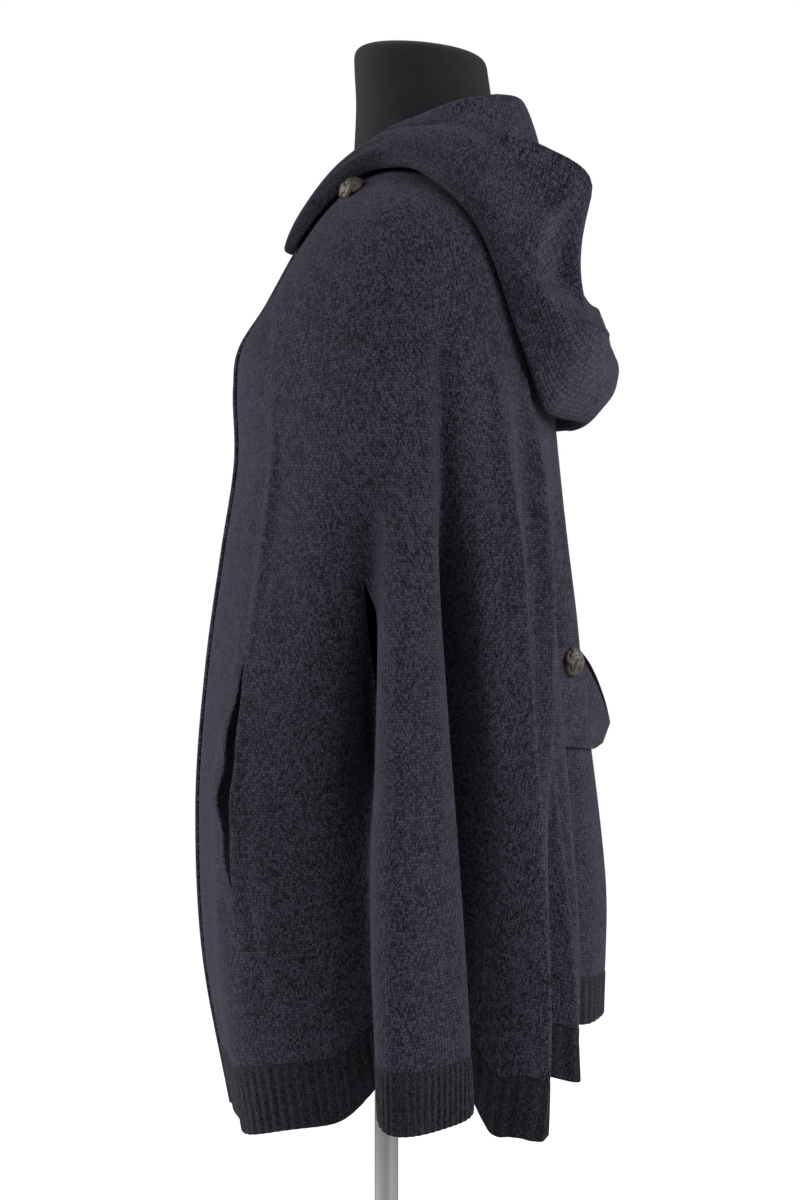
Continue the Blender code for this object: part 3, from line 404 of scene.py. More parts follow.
def drape(angle, fall):
    """The cape's outer surface: its ring at this fall, moved out or in by each fold's bell curve over the
    angle and by each crease's swell, and sideways and down by the folds' lean and drop."""
    points, outward = ring_points(smooth_rows(CAPE_RINGS, fall), angle)
    out = np.zeros_like(fall)
    side = np.zeros_like(fall)
    down = np.zeros_like(fall)
    for high, low, width, start, full, fade, reach, drop, lean in all_folds():
        centre = high + (low - high) * fall
        bell = np.exp(-((angle - centre) / width) ** 2)
        grown = ease((fall - start) / (full - start))
        gone = ease((fall - fade + FADE_OVER) / FADE_OVER)
        out += reach * bell * grown * (1 - gone)
        side += lean * bell * grown
        down += drop * bell * ease((fall - DROP_START) / (1 - DROP_START))
    for row in CAPE_CREASES:
        out += row.out * line_swell(fall, angle, (row.fall, row.angle), (row.to_fall, row.to_angle),
                                    row.bow, (row.width, row.far))
    sideways = np.stack((-outward[..., 1], outward[..., 0]), axis=-1)
    points[..., :2] += out[..., None] * outward + side[..., None] * sideways
    points[..., 2] -= down
    return points


def ring_angle(around, fall):
    """The angle of a point 'around' the cape: 0 at the left front's edge, 1 and 2 at its seams, 3 at the
    centre back, and so on to 6 at the right front's edge. -1 and 7 are the free edges of the bands."""
    ring = smooth_rows(CAPE_RINGS, fall)
    seam = smooth_rows(SEAMS, fall)
    edge = np.degrees(np.arcsin(0.5 * BAND_WIDTH / ring[..., 3]))
    stops = (-edge, edge, seam[..., 1], seam[..., 2], np.full_like(fall, 180.0),
             360 - seam[..., 2], 360 - seam[..., 1], 360 - edge, 360 + edge)
    angle = np.zeros_like(fall)
    for index in range(len(stops) - 1):
        angle += np.clip(around + 1 - index, 0.0, 1.0) * (stops[index + 1] - stops[index])
    return angle + stops[0]


def slit_gape(around, fall):
    """How far the cloth beside a slit is drawn away from it, towards higher 'around': each edge's own gape
    times a sine over the slit's length, dying away beside it."""
    shift = np.zeros_like(fall)
    for slit in (ARM_SLIT, POCKET_SLIT):
        part = np.clip((fall - slit.high) / (slit.low - slit.high), 0.0, 1.0)
        for line, low_gape, high_gape in ((slit.around, slit.front_gape, slit.rear_gape),
                                          (6 - slit.around, slit.rear_gape, slit.front_gape)):
            beside = around - line
            near = np.exp(-np.abs(beside) / slit.reach)
            gape = np.where(beside < 0, -low_gape, high_gape)
            shift += gape * near * np.sin(math.pi * part) * (np.abs(beside) < slit.limit)
    return shift


def cape(around, fall):
    """The cape's outer surface with its slits drawn open: the drape at this place's angle, moved along
    its own level line by the slits' gape."""
    around, fall = np.broadcast_arrays(np.asarray(around, dtype=float), np.asarray(fall, dtype=float))
    angle = ring_angle(around, fall)
    along = unit(drape(angle + ANGLE_STEP, fall) - drape(angle - ANGLE_STEP, fall))
    return drape(angle, fall) + slit_gape(around, fall)[..., None] * along


def hood(turn, rise):
    """The hood's outer surface: 'turn' is the angle round the neck and 'rise' goes from 0 at the neck
    seam to 1 at the free rim, on a smooth curve through the points of the section at that angle."""
    turn, rise = np.broadcast_arrays(np.asarray(turn, dtype=float), np.asarray(rise, dtype=float))
    mirrored = turn > 180
    folded = np.where(mirrored, 360 - turn, turn)
    section = smooth_rows(HOOD_SECTIONS, folded)
    sine, cosine = np.sin(np.radians(folded)), np.cos(np.radians(folded))
    stops = [ring_points(smooth_rows(CAPE_RINGS, np.zeros_like(folded)), folded)[0]]
    for column in range(1, section.shape[-1], 2):
        reach, height = section[..., column], section[..., column + 1]
        stops.append(np.stack((reach * sine, NECK_Y - reach * cosine, height), axis=-1))
    stops = np.stack(stops)
    rises = np.array(HOOD_RISES)
    slopes = np.gradient(stops, rises, axis=0)
    low, part, step = find_step(rises, rise)
    pick = np.meshgrid(*[np.arange(size) for size in turn.shape], indexing="ij")
    first, second = (low, *pick), (low + 1, *pick)
    points = cubic(stops[first], stops[second], slopes[first], slopes[second], part, step)
    points[..., 0] = np.where(mirrored, -points[..., 0], points[..., 0])
    return points


def facing(surface, u, v, step_u, step_v):
    """Unit normals of a surface, from the cross product of its two directions."""
    across = surface(u + step_u, v) - surface(u - step_u, v)
    along = surface(u, np.minimum(v + step_v, 1.0)) - surface(u, np.maximum(v - step_v, 0.0))
    return unit(np.cross(along, across))


def grid_normals(points):
    """Unit normals of a grid of points, from the differences along its rows and columns."""
    return unit(np.cross(np.gradient(points, axis=0), np.gradient(points, axis=1)))


# ---------------------------------------------------------------- walls

def spread_lines(start, end, scale, cell):
    """Values from start to end, a cell apart, with closer lines beside both rounded ends. 'scale' is how
    many metres one unit of the value covers."""
    steps = np.array(EDGE_STEPS) / scale
    low, high = start + steps, end - steps[::-1]
    count = max(2, int(round((high[0] - low[-1]) * scale / cell)))
    middle = np.linspace(low[-1], high[0], count + 1)
    return np.concatenate(([start], low[:-1], middle, high[1:], [end]))


def metres_along(points, axis):
    """How far each point of a grid lies from the first of its column (axis 0) or of its row (axis 1)."""
    steps = np.linalg.norm(np.diff(points, axis=axis), axis=-1)
    return np.insert(np.cumsum(steps, axis=axis), 0, 0.0, axis=axis)


def cloth_map(points):
    """A map of the cloth in metres: across, the distance along each row from the middle column; down, the
    mean distance from the first row."""
    across = metres_along(points, 1)
    across -= across[:, [across.shape[1] // 2]]
    down = metres_along(points, 0).mean(axis=1)
    return np.stack((across, np.broadcast_to(down[:, None], across.shape)), axis=-1)


def round_off(distance):
    """The thickness of a wall near its edge as a share of the whole, as a half circle falls off: the root
    of 1 - (1 - distance / EDGE_ROUND)^2, and never less than EDGE_LEAST."""
    part = np.clip(distance / EDGE_ROUND, 0.0, 1.0)
    return np.maximum(np.sqrt(1 - (1 - part) ** 2), EDGE_LEAST)


def edge_taper(points, sides, seams, free):
    """1 inside the cloth and less beside its named sides, which are rounded off. A sewn side keeps only a
    shallow groove of that, except on its free rows."""
    down, across = metres_along(points, 0), metres_along(points, 1)
    near = {"top": down, "bottom": down[-1:] - down, "start": across, "end": across[:, -1:] - across}
    taper = np.ones(points.shape[:2])
    for side in (*sides, *seams):
        fall_off = round_off(near[side])
        if side in seams:
            groove = 1 - SEAM_GROOVE * (1 - fall_off)
            fall_off = groove if free is None else np.where(free[:, None], fall_off, groove)
        taper = np.minimum(taper, fall_off)
    return taper


def wall_skins(outer, normals, sides=(), seams=(), free=None):
    """The outer and inner points of a wall: its free sides are rounded, and its sewn sides have a shallow
    groove, except on the rows that are free."""
    half = 0.5 * WALL * edge_taper(outer, sides, seams, free)[..., None]
    middle = outer - 0.5 * WALL * normals
    return middle + half * normals, middle - half * normals


def closed_faces(quads, count):
    """Faces of a closed wall: the outer skin, the inner skin turned round, and a rim along every edge
    that only one quad uses."""
    edges = np.concatenate([quads[:, [k, (k + 1) % 4]] for k in range(4)])
    there, back = edges @ (count, 1), edges @ (1, count)
    start, end = edges[~np.isin(there, back)].T
    rim = np.stack((end, start, start + count, end + count), axis=-1)
    return np.vstack((quads, quads[:, ::-1] + count, rim))


def make_piece(name, points, faces, material, uv=None, sharp_angle=None):
    """A smooth mesh object at the origin from points, lists of corners and a map in metres. Edges that
    turn by more than the sharp angle stay crisp."""
    mesh = bpy.data.meshes.new(name)
    mesh.from_pydata(points.tolist(), [], faces)
    if uv is not None:
        corners = np.empty(len(mesh.loops), dtype=np.int32)
        mesh.loops.foreach_get("vertex_index", corners)
        layer = mesh.uv_layers.new(name="cloth")
        layer.data.foreach_set("uv", uv[corners].astype(np.float32).ravel())
    mesh.materials.append(material)
    mesh.shade_smooth()
    if sharp_angle:
        mesh.set_sharp_from_angle(angle=math.radians(sharp_angle))
    piece = bpy.data.objects.new(name, mesh)
    bpy.context.scene.collection.objects.link(piece)
    return piece


def make_wall(name, outer, inner, material, uv, flip=False, slit=None):
    """A closed wall from grids of outer and inner points. 'slit' is (column, first row, last row): the
    column and the next one lie on each other, are parted in those rows and joined in the others."""
    rows, columns = outer.shape[:2]
    numbers = np.arange(rows * columns).reshape(rows, columns)
    if slit:
        column, first, last = slit
        joined = np.ones(rows, dtype=bool)
        joined[first:last + 1] = False
        numbers[joined, column + 1] = numbers[joined, column]
    quads = np.stack((numbers[:-1, :-1], numbers[1:, :-1], numbers[1:, 1:], numbers[:-1, 1:]), axis=-1)
    if slit:
        quads = np.delete(quads, column, axis=1)
    quads = quads.reshape(-1, 4)
    if flip:
        quads = quads[:, ::-1]
    used = np.unique(quads)
    renumber = np.full(rows * columns, -1)
    renumber[used] = np.arange(len(used))
    faces = closed_faces(renumber[quads], len(used)).tolist()
    points = np.vstack((outer.reshape(-1, 3)[used], inner.reshape(-1, 3)[used]))
    flat = uv.reshape(-1, 2)[used]
    return make_piece(name, points, faces, material, np.vstack((flat, flat)))


def dress(piece, node):
    """Put a piece in the place of its solid: it rides on the one body and the solid is hidden."""
    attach(piece, "root")
    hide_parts(node)
    return piece


def keep_clear(points, skin, normals, gap, soft=0.006, reach=0.05):
    """Move points that lie nearer than a gap to a skin, or inside it, outwards. The skin near a point is
    the plane of its points and normals, weighted by a bell curve over their distance, 'soft' wide. A point
    further than the reach from the skin stays."""
    skin, normals = skin.reshape(-1, 3), normals.reshape(-1, 3)
    moved = points.copy()
    for column in range(points.shape[1]):
        part = points[:, column]
        square = ((part[:, None, :] - skin[None, :, :]) ** 2).sum(axis=-1)
        weight = np.exp(-(square - square.min(axis=1, keepdims=True)) / soft**2)
        weight /= weight.sum(axis=1, keepdims=True)
        place, normal = weight @ skin, unit(weight @ normals)
        height = ((part - place) * normal).sum(axis=-1)
        push = np.where(square.min(axis=1) < reach**2, np.maximum(gap - height, 0.0), 0.0)
        moved[:, column] = part + push[:, None] * normal
    return moved


# ---------------------------------------------------------------- shader tools

def new_group(name, inputs, outputs):
    """A shader node group with named sockets, and its input and output nodes."""
    group = bpy.data.node_groups.new(name, "ShaderNodeTree")
    for label, kind, value in inputs:
        socket = group.interface.new_socket(name=label, in_out="INPUT", socket_type="NodeSocket" + kind)
        if value is not None:
            socket.default_value = value
    for label, kind in outputs:
        group.interface.new_socket(name=label, in_out="OUTPUT", socket_type="NodeSocket" + kind)
    return group, group.nodes.new("NodeGroupInput"), group.nodes.new("NodeGroupOutput")


class Wires:
    """Adds nodes to a tree and links them in one call each."""

    def __init__(self, tree):
        """Keep the tree that the nodes go into."""
        self.tree = tree

    def put(self, socket, value):
        """Link an output to a socket, or set the socket to a plain value."""
        if isinstance(value, bpy.types.NodeSocket):
            self.tree.links.new(value, socket)
        else:
            socket.default_value = value

    def math(self, operation, first, second=None, third=None, clamp=False):
        """One Math node; the result is its output."""
        node = self.tree.nodes.new("ShaderNodeMath")
        node.operation = operation
        node.use_clamp = clamp
        for socket, value in zip(node.inputs, (first, second, third)):
            if value is not None:
                self.put(socket, value)
        return node.outputs[0]

    def node(self, kind, output, settings=(), **sockets):
        """A node of a kind, with settings and sockets by name; the result is one of its outputs."""
        node = self.tree.nodes.new("ShaderNode" + kind)
        for key, value in dict(settings).items():
            setattr(node, key, value)
        for key, value in sockets.items():
            self.put(node.inputs[key.replace("_", " ")], value)
        return node.outputs[output]

    def mix(self, share, first, second, blend="MIX"):
        """A colour mix."""
        node = self.tree.nodes.new("ShaderNodeMix")
        node.data_type = "RGBA"
        node.blend_type = blend
        self.put(node.inputs[0], share)
        self.put(node.inputs[6], first)
        self.put(node.inputs[7], second)
        return node.outputs[2]

    def grey(self, value):
        """A grey as bright as the value."""
        return self.node("CombineColor", "Color", Red=value, Green=value, Blue=value)

    def group(self, group, **sockets):
        """A group's node, with sockets by name."""
        node = self.tree.nodes.new("ShaderNodeGroup")
        node.node_tree = group
        for key, value in sockets.items():
            self.put(node.inputs[key.replace("_", " ")], value)
        return node.outputs

    def bump(self, height, strength, distance):
        """A normal tilted by a height over a distance in metres."""
        return self.node("Bump", "Normal", Height=height, Strength=strength, Distance=distance)

    def span(self, value, low, high, to_low=0.0, to_high=1.0):
        """A value carried from one range to another and held there."""
        node = self.tree.nodes.new("ShaderNodeMapRange")
        for socket, entry in zip(node.inputs, (value, low, high, to_low, to_high)):
            self.put(socket, entry)
        return node.outputs[0]


def knit_group():
    """Plain knitting on a map in metres. Each wale is a column of V-shaped stitches: an arm of the V runs
    across half a wale and rises outwards. Height is a round strand across each arm, sunk between wales;
    Stitch is a random value for each arm. A slow wobble keeps the wales from running dead straight."""
    group, entry, leave = new_group(
        "knit_stitches", (("Map", "Vector", None), ("Wale", "Float", 0.0023), ("Course", "Float", 0.0019)),
        (("Height", "Float"), ("Stitch", "Float")))
    wires = Wires(group)

    def from_middle(value):
        """How far a value is from the middle of its whole step."""
        return wires.math("ABSOLUTE", wires.math("SUBTRACT", wires.math("FRACT", value), 0.5))

    def arch(value):
        """1 in the middle of each whole step of a value and 0 at its ends, as a parabola."""
        square = wires.math("POWER", from_middle(value), 2.0)
        return wires.math("SUBTRACT", 1.0, wires.math("MULTIPLY", square, 4.0))

    wobble = wires.node("TexNoise", "Color", Vector=entry.outputs["Map"], Scale=45.0, Detail=2.0)
    drift = wires.node("VectorMath", "Vector", {"operation": "MULTIPLY_ADD"})
    for socket, value in zip(drift.node.inputs, (wobble, (0.0022, 0.0022, 0.0), entry.outputs["Map"])):
        wires.put(socket, value)
    split = group.nodes.new("ShaderNodeSeparateXYZ")
    wires.put(split.inputs[0], drift)
    across = wires.math("DIVIDE", split.outputs[0], entry.outputs["Wale"])
    down = wires.math("DIVIDE", split.outputs[1], entry.outputs["Course"])
    arms = wires.math("MULTIPLY", across, 2.0)
    slanted = wires.math("MULTIPLY_ADD", from_middle(across), 0.9, down)
    arm = wires.math("POWER", wires.math("MAXIMUM", arch(arms), 0.0), 0.6)
    cell = wires.node("CombineXYZ", 0, X=wires.math("FLOOR", arms), Y=wires.math("FLOOR", slanted))
    wires.put(leave.inputs["Height"], wires.math("MULTIPLY", arch(slanted), arm))
    wires.put(leave.inputs["Stitch"],
              wires.node("TexWhiteNoise", "Value", {"noise_dimensions": "2D"}, Vector=cell))
    return group


def melange_group():
    """The colour of blended wool: a deep and a light tone mixed by stitch, by fine fibres, by strands and
    by soft blotches, with a few pale hairs, and painted shade that darkens it between the stitches."""
    group, entry, leave = new_group(
        "melange_wool",
        (("Map", "Vector", None), ("Height", "Float", 0.5), ("Stitch", "Float", 0.5), ("Deep", "Color", None),
         ("Light", "Color", None), ("Hair", "Color", None), ("Sunk", "Float", 0.5)),
        (("Color", "Color"), ("Fibre", "Float")))
    wires = Wires(group)
    given = entry.outputs

    def noise(scale, detail, roughness):
        """Cloudy noise on the map, with 'scale' waves to a metre."""
        return wires.node("TexNoise", "Fac", Vector=given["Map"], Scale=scale, Detail=detail,
                          Roughness=roughness)

    fibres = noise(1000.0, 3.0, 0.75)
    tone = wires.math("MULTIPLY", given["Stitch"], 0.26)
    for part, share in ((fibres, 1.20), (noise(38.0, 4.0, 0.6), 0.25), (noise(480.0, 2.0, 0.6), 0.55)):
        tone = wires.math("MULTIPLY_ADD", part, share, tone)
    colour = wires.mix(wires.span(tone, 0.98, 1.28), given["Deep"], given["Light"])
    hairs = wires.math("MULTIPLY_ADD", given["Stitch"], 0.10, noise(1500.0, 1.0, 0.5))
    colour = wires.mix(wires.math("MULTIPLY", wires.span(hairs, 0.62, 0.69), 0.55), colour, given["Hair"])
    # Painted shade: the colour is darkened where the stitches' height is low, between stitches and courses.
    painted_shade = wires.grey(wires.span(given["Height"], 0.0, 0.55, given["Sunk"], 1.0))
    wires.put(leave.inputs["Color"], wires.mix(1.0, colour, painted_shade, "MULTIPLY"))
    wires.put(leave.inputs["Fibre"], fibres)
    return group


def new_material(name, **constants):
    """A material, its wires and its Principled shader, with the constants set on the shader."""
    material = bpy.data.materials.new(name)
    material.use_nodes = True
    shader = material.node_tree.nodes["Principled BSDF"]
    for key, value in constants.items():
        shader.inputs[key.replace("_", " ")].default_value = value
    return material, Wires(material.node_tree), shader


# ---------------------------------------------------------------- materials

# The two wools: their tones, the size of a stitch in metres, and the strength of their bloom.
Wool = namedtuple("Wool", "name deep light hair wale course sheen")
KNIT_WOOL = Wool("melange_knit", (0.0034, 0.0028, 0.0066, 1.0), (0.0530, 0.0468, 0.0796, 1.0),
                 (0.220, 0.200, 0.262, 1.0), 0.0030, 0.0026, 0.12)
RIB_WOOL = Wool("melange_rib", (0.0040, 0.0036, 0.0058, 1.0), (0.0350, 0.0322, 0.0440, 1.0),
                (0.110, 0.105, 0.125, 1.0), 0.0024, 0.0024, 0.12)


def wool_material(wool, knit, melange):
    """Soft wool knit: stitches and fibres in its colour, with painted shade between the stitches, and in its
    bump, with a pale bloom at grazing angles."""
    material, wires, shader = new_material(
        wool.name, Roughness=0.95, Specular_IOR_Level=0.18, Sheen_Weight=wool.sheen, Sheen_Roughness=0.32,
        Sheen_Tint=(0.74, 0.71, 0.93, 1.0))
    where = wires.node("UVMap", "UV", {"uv_map": "cloth"})
    stitches = wires.group(knit, Map=where, Wale=wool.wale, Course=wool.course)
    # The colour is painted down to 0.40 of itself between the stitches, as painted shade.
    yarn = wires.group(melange, Map=where, Height=stitches["Height"], Stitch=stitches["Stitch"],
                       Deep=wool.deep, Light=wool.light, Hair=wool.hair, Sunk=0.40)
    lift = wires.math("MULTIPLY_ADD", yarn["Fibre"], 0.55, stitches["Height"])
    wires.put(shader.inputs["Base Color"], yarn["Color"])
    wires.put(shader.inputs["Normal"], wires.bump(lift, 0.75, 0.0012))
    return material


def jersey_material(knit):
    """Black stretched jersey: very fine stitches and a little lint."""
    material, wires, shader = new_material(
        "black_jersey_fine", Roughness=0.88, Specular_IOR_Level=0.25, Sheen_Weight=0.12, Sheen_Roughness=0.45)
    where = wires.node("UVMap", "UV", {"uv_map": "cloth"})
    stitches = wires.group(knit, Map=where, Wale=0.0011, Course=0.0010)
    cloud = wires.node("TexNoise", "Fac", Vector=where, Scale=60.0, Detail=4.0, Roughness=0.6)
    lint = wires.span(wires.node("TexNoise", "Fac", Vector=where, Scale=700.0, Detail=1.0), 0.70, 0.80)
    colour = wires.mix(cloud, (0.0080, 0.0076, 0.0102, 1.0), (0.0160, 0.0150, 0.0195, 1.0))
    colour = wires.mix(wires.math("MULTIPLY", lint, 0.35), colour, (0.085, 0.085, 0.090, 1.0))
    wires.put(shader.inputs["Base Color"], colour)
    wires.put(shader.inputs["Normal"], wires.bump(stitches["Height"], 0.3, 0.0004))
    return material


def leather_material():
    """Woven leather strands: warm grey-brown in soft clouds, with fine grain."""
    material, wires, shader = new_material("woven_leather", Coat_Weight=0.15, Coat_Roughness=0.35)
    where = wires.node("TexCoord", "Object")
    grain = wires.node("TexVoronoi", "Distance", Vector=where, Scale=2600.0)
    cloud = wires.node("TexNoise", "Fac", Vector=where, Scale=260.0, Detail=4.0, Roughness=0.65)
    colour = wires.mix(wires.span(cloud, 0.3, 0.7), (0.030, 0.023, 0.020, 1.0), (0.135, 0.108, 0.088, 1.0))
    wires.put(shader.inputs["Base Color"], colour)
    wires.put(shader.inputs["Roughness"], wires.span(cloud, 0.3, 0.7, 0.62, 0.42))
    wires.put(shader.inputs["Normal"], wires.bump(grain, 0.35, 0.0004))
    return material


def steel_material(name, colour, low, high, stretch):
    """Steel, polished or brushed: fine lines across the height or the plate vary its roughness."""
    material, wires, shader = new_material(name, Base_Color=colour, Metallic=1.0)
    lines = wires.node("Mapping", "Vector", Vector=wires.node("TexCoord", "Object"), Scale=stretch)
    scratch = wires.node("TexNoise", "Fac", Vector=lines, Scale=40.0, Detail=5.0, Roughness=0.6)
    wires.put(shader.inputs["Roughness"], wires.span(scratch, 0.3, 0.7, low, high))
    wires.put(shader.inputs["Normal"], wires.bump(scratch, 0.04, 0.0003))
    return material


def make_materials():
    """Every material of the object, by its short name."""
    knit, melange = knit_group(), melange_group()
    return {
        "knit": wool_material(KNIT_WOOL, knit, melange),
        "rib": wool_material(RIB_WOOL, knit, melange),
        "jersey": jersey_material(knit),
        "leather": leather_material(),
        "tube": steel_material("polished_tube", (0.42, 0.42, 0.44, 1.0), 0.10, 0.20, (1.0, 1.0, 40.0)),
        "plate": steel_material("brushed_plate", (0.46, 0.46, 0.47, 1.0), 0.30, 0.42, (1.0, 30.0, 1.0)),
    }


# ---------------------------------------------------------------- the cape

def lips(columns, falls):
    """How far the cloth beside the hand slits stands out: along a slit sin(pi part^low_down)^blunt times a
    ripple, and away from it exp(-(distance / reach)^steep), more on the side nearer the centre front."""
    part = np.clip((falls - POCKET_SLIT.high) / (POCKET_SLIT.low - POCKET_SLIT.high), 0.0, 1.0)
    ripple = 1 + LIP["ripple"] * np.sin(LIP["ripple_rate"] * part + LIP["ripple_start"])
    swell = (np.sin(math.pi * part ** LIP["low_down"]) ** LIP["blunt"] * ripple)[:, None]
    lift = 0.0
    for line, forward in ((POCKET_SLIT.around, -1), (6 - POCKET_SLIT.around, 1)):
        beside = (columns - line) * forward
        near = np.where(beside > 0, LIP["front"], LIP["rear"])
        near = near * np.exp(-(np.abs(beside) / LIP["reach"]) ** LIP["steep"]) * (np.abs(beside) < 1)
        lift = lift + swell * near
    return lift[..., None]


def cape_skin(columns, falls):
    """Points and normals of a stretch of the cape on given lines."""
    u, v = np.meshgrid(columns, falls)
    return cape(u, v), facing(cape, u, v, FINE_STEP, FINE_STEP)


def drape_normals(angle, fall):
    """Outward normals of the cape at angles in degrees."""
    return facing(drape, angle, fall, ANGLE_STEP, FALL_STEP)


def width_of(first, last):
    """Metres round the cape between two 'around' values, a little below its middle."""
    u = np.linspace(first + HAIRLINE, last - HAIRLINE, 200)
    return metres_along(cape(u, np.full_like(u, WIDTH_FALL)), 0)[-1]


def add_panel(name, first, last, material, slit=None):
    """A panel of the cape from the neck seam to the rib, its slit parted along one line. Also returns its
    outer points and their normals."""
    scale = width_of(first, last) / (last - first)
    first, last = first + HAIRLINE, last - HAIRLINE
    falls = spread_lines(0.0, RIB_TOP, CAPE_LENGTH, TALL_CELL)
    if slit is None:
        columns = spread_lines(first, last, scale, FINE_CELL)
    else:
        before = spread_lines(first, slit - HAIRLINE, scale, FINE_CELL)
        columns = np.concatenate((before, spread_lines(slit + HAIRLINE, last, scale, FINE_CELL)))
    outer, normals = cape_skin(columns, falls)
    outer += lips(columns, falls) * normals
    free = (falls > ARM_SLIT.high) & (falls < ARM_SLIT.low)
    front, inner = wall_skins(outer, normals, (), ("top", "bottom", "start", "end"), free)
    parted = None
    if slit is not None:
        inside = (falls > POCKET_SLIT.high) & (falls < POCKET_SLIT.low)
        thin = round_off(np.abs(columns - slit) * scale)
        thin = np.where(inside[:, None], thin[None, :], 1.0)[..., None]
        middle = 0.5 * (front + inner)
        front, inner = middle + (front - middle) * thin, middle + (inner - middle) * thin
        rows = np.flatnonzero(inside)
        parted = (len(before) - 1, rows[0], rows[-1])
    piece = make_wall(name, front, inner, material, cloth_map(outer), slit=parted)
    return piece, outer, normals


def rib_wave(phase):
    """How far a two-by-two rib stands out, 0 to 1: the cosine of the phase flattened by a hyperbolic
    tangent, with a slight dip between its two wales."""
    wave = 0.5 + 0.5 * np.tanh(RIB_FLANK * np.cos(2 * math.pi * phase))
    return wave * (1 - RIB_DIP * np.exp(-((phase - np.round(phase)) / RIB_DIP_WIDTH) ** 2))


def add_hem(name, first, last, material):
    """A stretch of the ribbed hem: a whole number of ribs side by side, standing out of the wall on both
    of its sides."""
    ribs = int(round(width_of(first, last) / RIB_PITCH))
    columns = np.linspace(first + HAIRLINE, last - HAIRLINE, ribs * RIB_COLUMNS + 1)
    falls = spread_lines(RIB_TOP, 1.0, CAPE_LENGTH, CELL)
    outer, normals = cape_skin(columns, falls)
    settle = ease((falls - RIB_TOP) / RIB_SETTLE)[:, None]
    wave = (rib_wave(np.linspace(0, ribs, len(columns)))[None, :] * settle)[..., None]
    outer = outer - RIB_RAISE * (1 - wave) * normals
    front, inner = wall_skins(outer, normals, ("bottom",), ("top",))
    front, inner = front + RIB_RAISE * wave * normals, inner + RIB_INSIDE * RIB_RAISE * wave * normals
    return make_wall(name, front, inner, material, cloth_map(outer))


def add_band(name, first, last, raised, material):
    """A band down the centre front with narrow ribs along its length. The upper one is raised, and its
    plain inside lies three quarters of the way down to the lower one, whose ribs are faint."""
    columns = np.linspace(first, last, BAND_COLUMNS)
    falls = spread_lines(0.0, 1.0, CAPE_LENGTH, CELL)
    outer, normals = cape_skin(columns, falls)
    wave = rib_wave(np.linspace(0.5, BAND_RIBS + 0.5, BAND_COLUMNS))[None, :, None]
    free, sewn = ("start", "end") if first < 0 else ("end", "start")
    front, _ = wall_skins(outer + raised * normals, normals, ("bottom", free), ("top", sewn))
    lower = 0.75 * CLEARANCE if raised else 0.0
    inner = outer + (raised - WALL - lower) * normals
    relief = BAND_RELIEF if raised else 0.3 * CLEARANCE
    return make_wall(name, front + relief * wave * normals, inner, material, cloth_map(outer))


# ---------------------------------------------------------------- hood, belt and buttons

def add_hood(name, first, last, material, skin, skin_normals):
    """One half of the hood, from the throat to the centre back seam, clear of the cape under it."""
    turns = spread_lines(first, last, HOOD_DEGREE, CELL)
    lines = spread_lines(HOOD_FOOT, 1.0, HOOD_LENGTH, HOOD_CELL)
    u, v = np.meshgrid(turns, lines)
    outer = hood(u, v)
    normals = -grid_normals(outer)
    swell = sum(row.out * line_swell(u, v, (row.angle, row.rise), (row.to_angle, row.to_rise),
                                     BOW_RISE * row.bow, (row.width, row.far)) for row in HOOD_PLEATS)
    outer = outer + swell[..., None] * normals
    clear = keep_clear(outer, skin, skin_normals, HOOD_CLEARANCE)
    share = ease((v - HOOD_FREE[0]) / (HOOD_FREE[1] - HOOD_FREE[0]))[..., None]
    outer = outer + share * (clear - outer)
    normals = -grid_normals(outer)
    front, inner = wall_skins(outer, normals, ("bottom",), ("top", "start", "end"))
    return make_wall(name, front, inner, material, cloth_map(outer), flip=True)


def add_belt(material, skin, skin_normals):
    """The slack half-belt: each upright line runs from its upper to its lower edge, and the whole lies on
    the cape at both ends. Also returns its outer points and their normals."""
    width = BELT_LINES[-1].x
    x, part = np.meshgrid(np.linspace(width, -width, BELT_GRID[0]), np.linspace(0, 1, BELT_GRID[1]))
    line = smooth_rows(BELT_LINES, x)
    y = line[..., 1] * (1 - part) + line[..., 3] * part
    z = line[..., 2] * (1 - part) + line[..., 4] * part
    inner = keep_clear(np.stack((x, y, z), axis=-1), skin, skin_normals, 2 * CLEARANCE)
    normals = grid_normals(inner)
    outer = inner + WALL * normals
    front, back = wall_skins(outer, normals, ("top", "bottom"), ("start", "end"))
    return make_wall("belt", front, back, material, cloth_map(outer)), outer, normals


def sweep(path, radii_side, radii_out, outwards, sides):
    """A closed tube along a looped path: an oval profile of two half widths, turned to face outwards."""
    tangent = unit(np.roll(path, -1, axis=0) - np.roll(path, 1, axis=0))
    across = unit(np.cross(tangent, outwards))
    up = np.cross(across, tangent)
    turn = np.linspace(0, 2 * math.pi, sides, endpoint=False)
    ring = radii_side * np.cos(turn)[None, :, None] * across[:, None, :]
    return path[:, None, :] + ring + radii_out * np.sin(turn)[None, :, None] * up[:, None, :]


def torus_faces(rows, columns):
    """Quads of a grid that closes on itself both ways."""
    numbers = np.arange(rows * columns).reshape(rows, columns)
    below, beside = np.roll(numbers, -1, axis=0), np.roll(numbers, -1, axis=1)
    both = np.roll(below, -1, axis=1)
    return np.stack((numbers, beside, both, below), axis=-1).reshape(-1, 4)


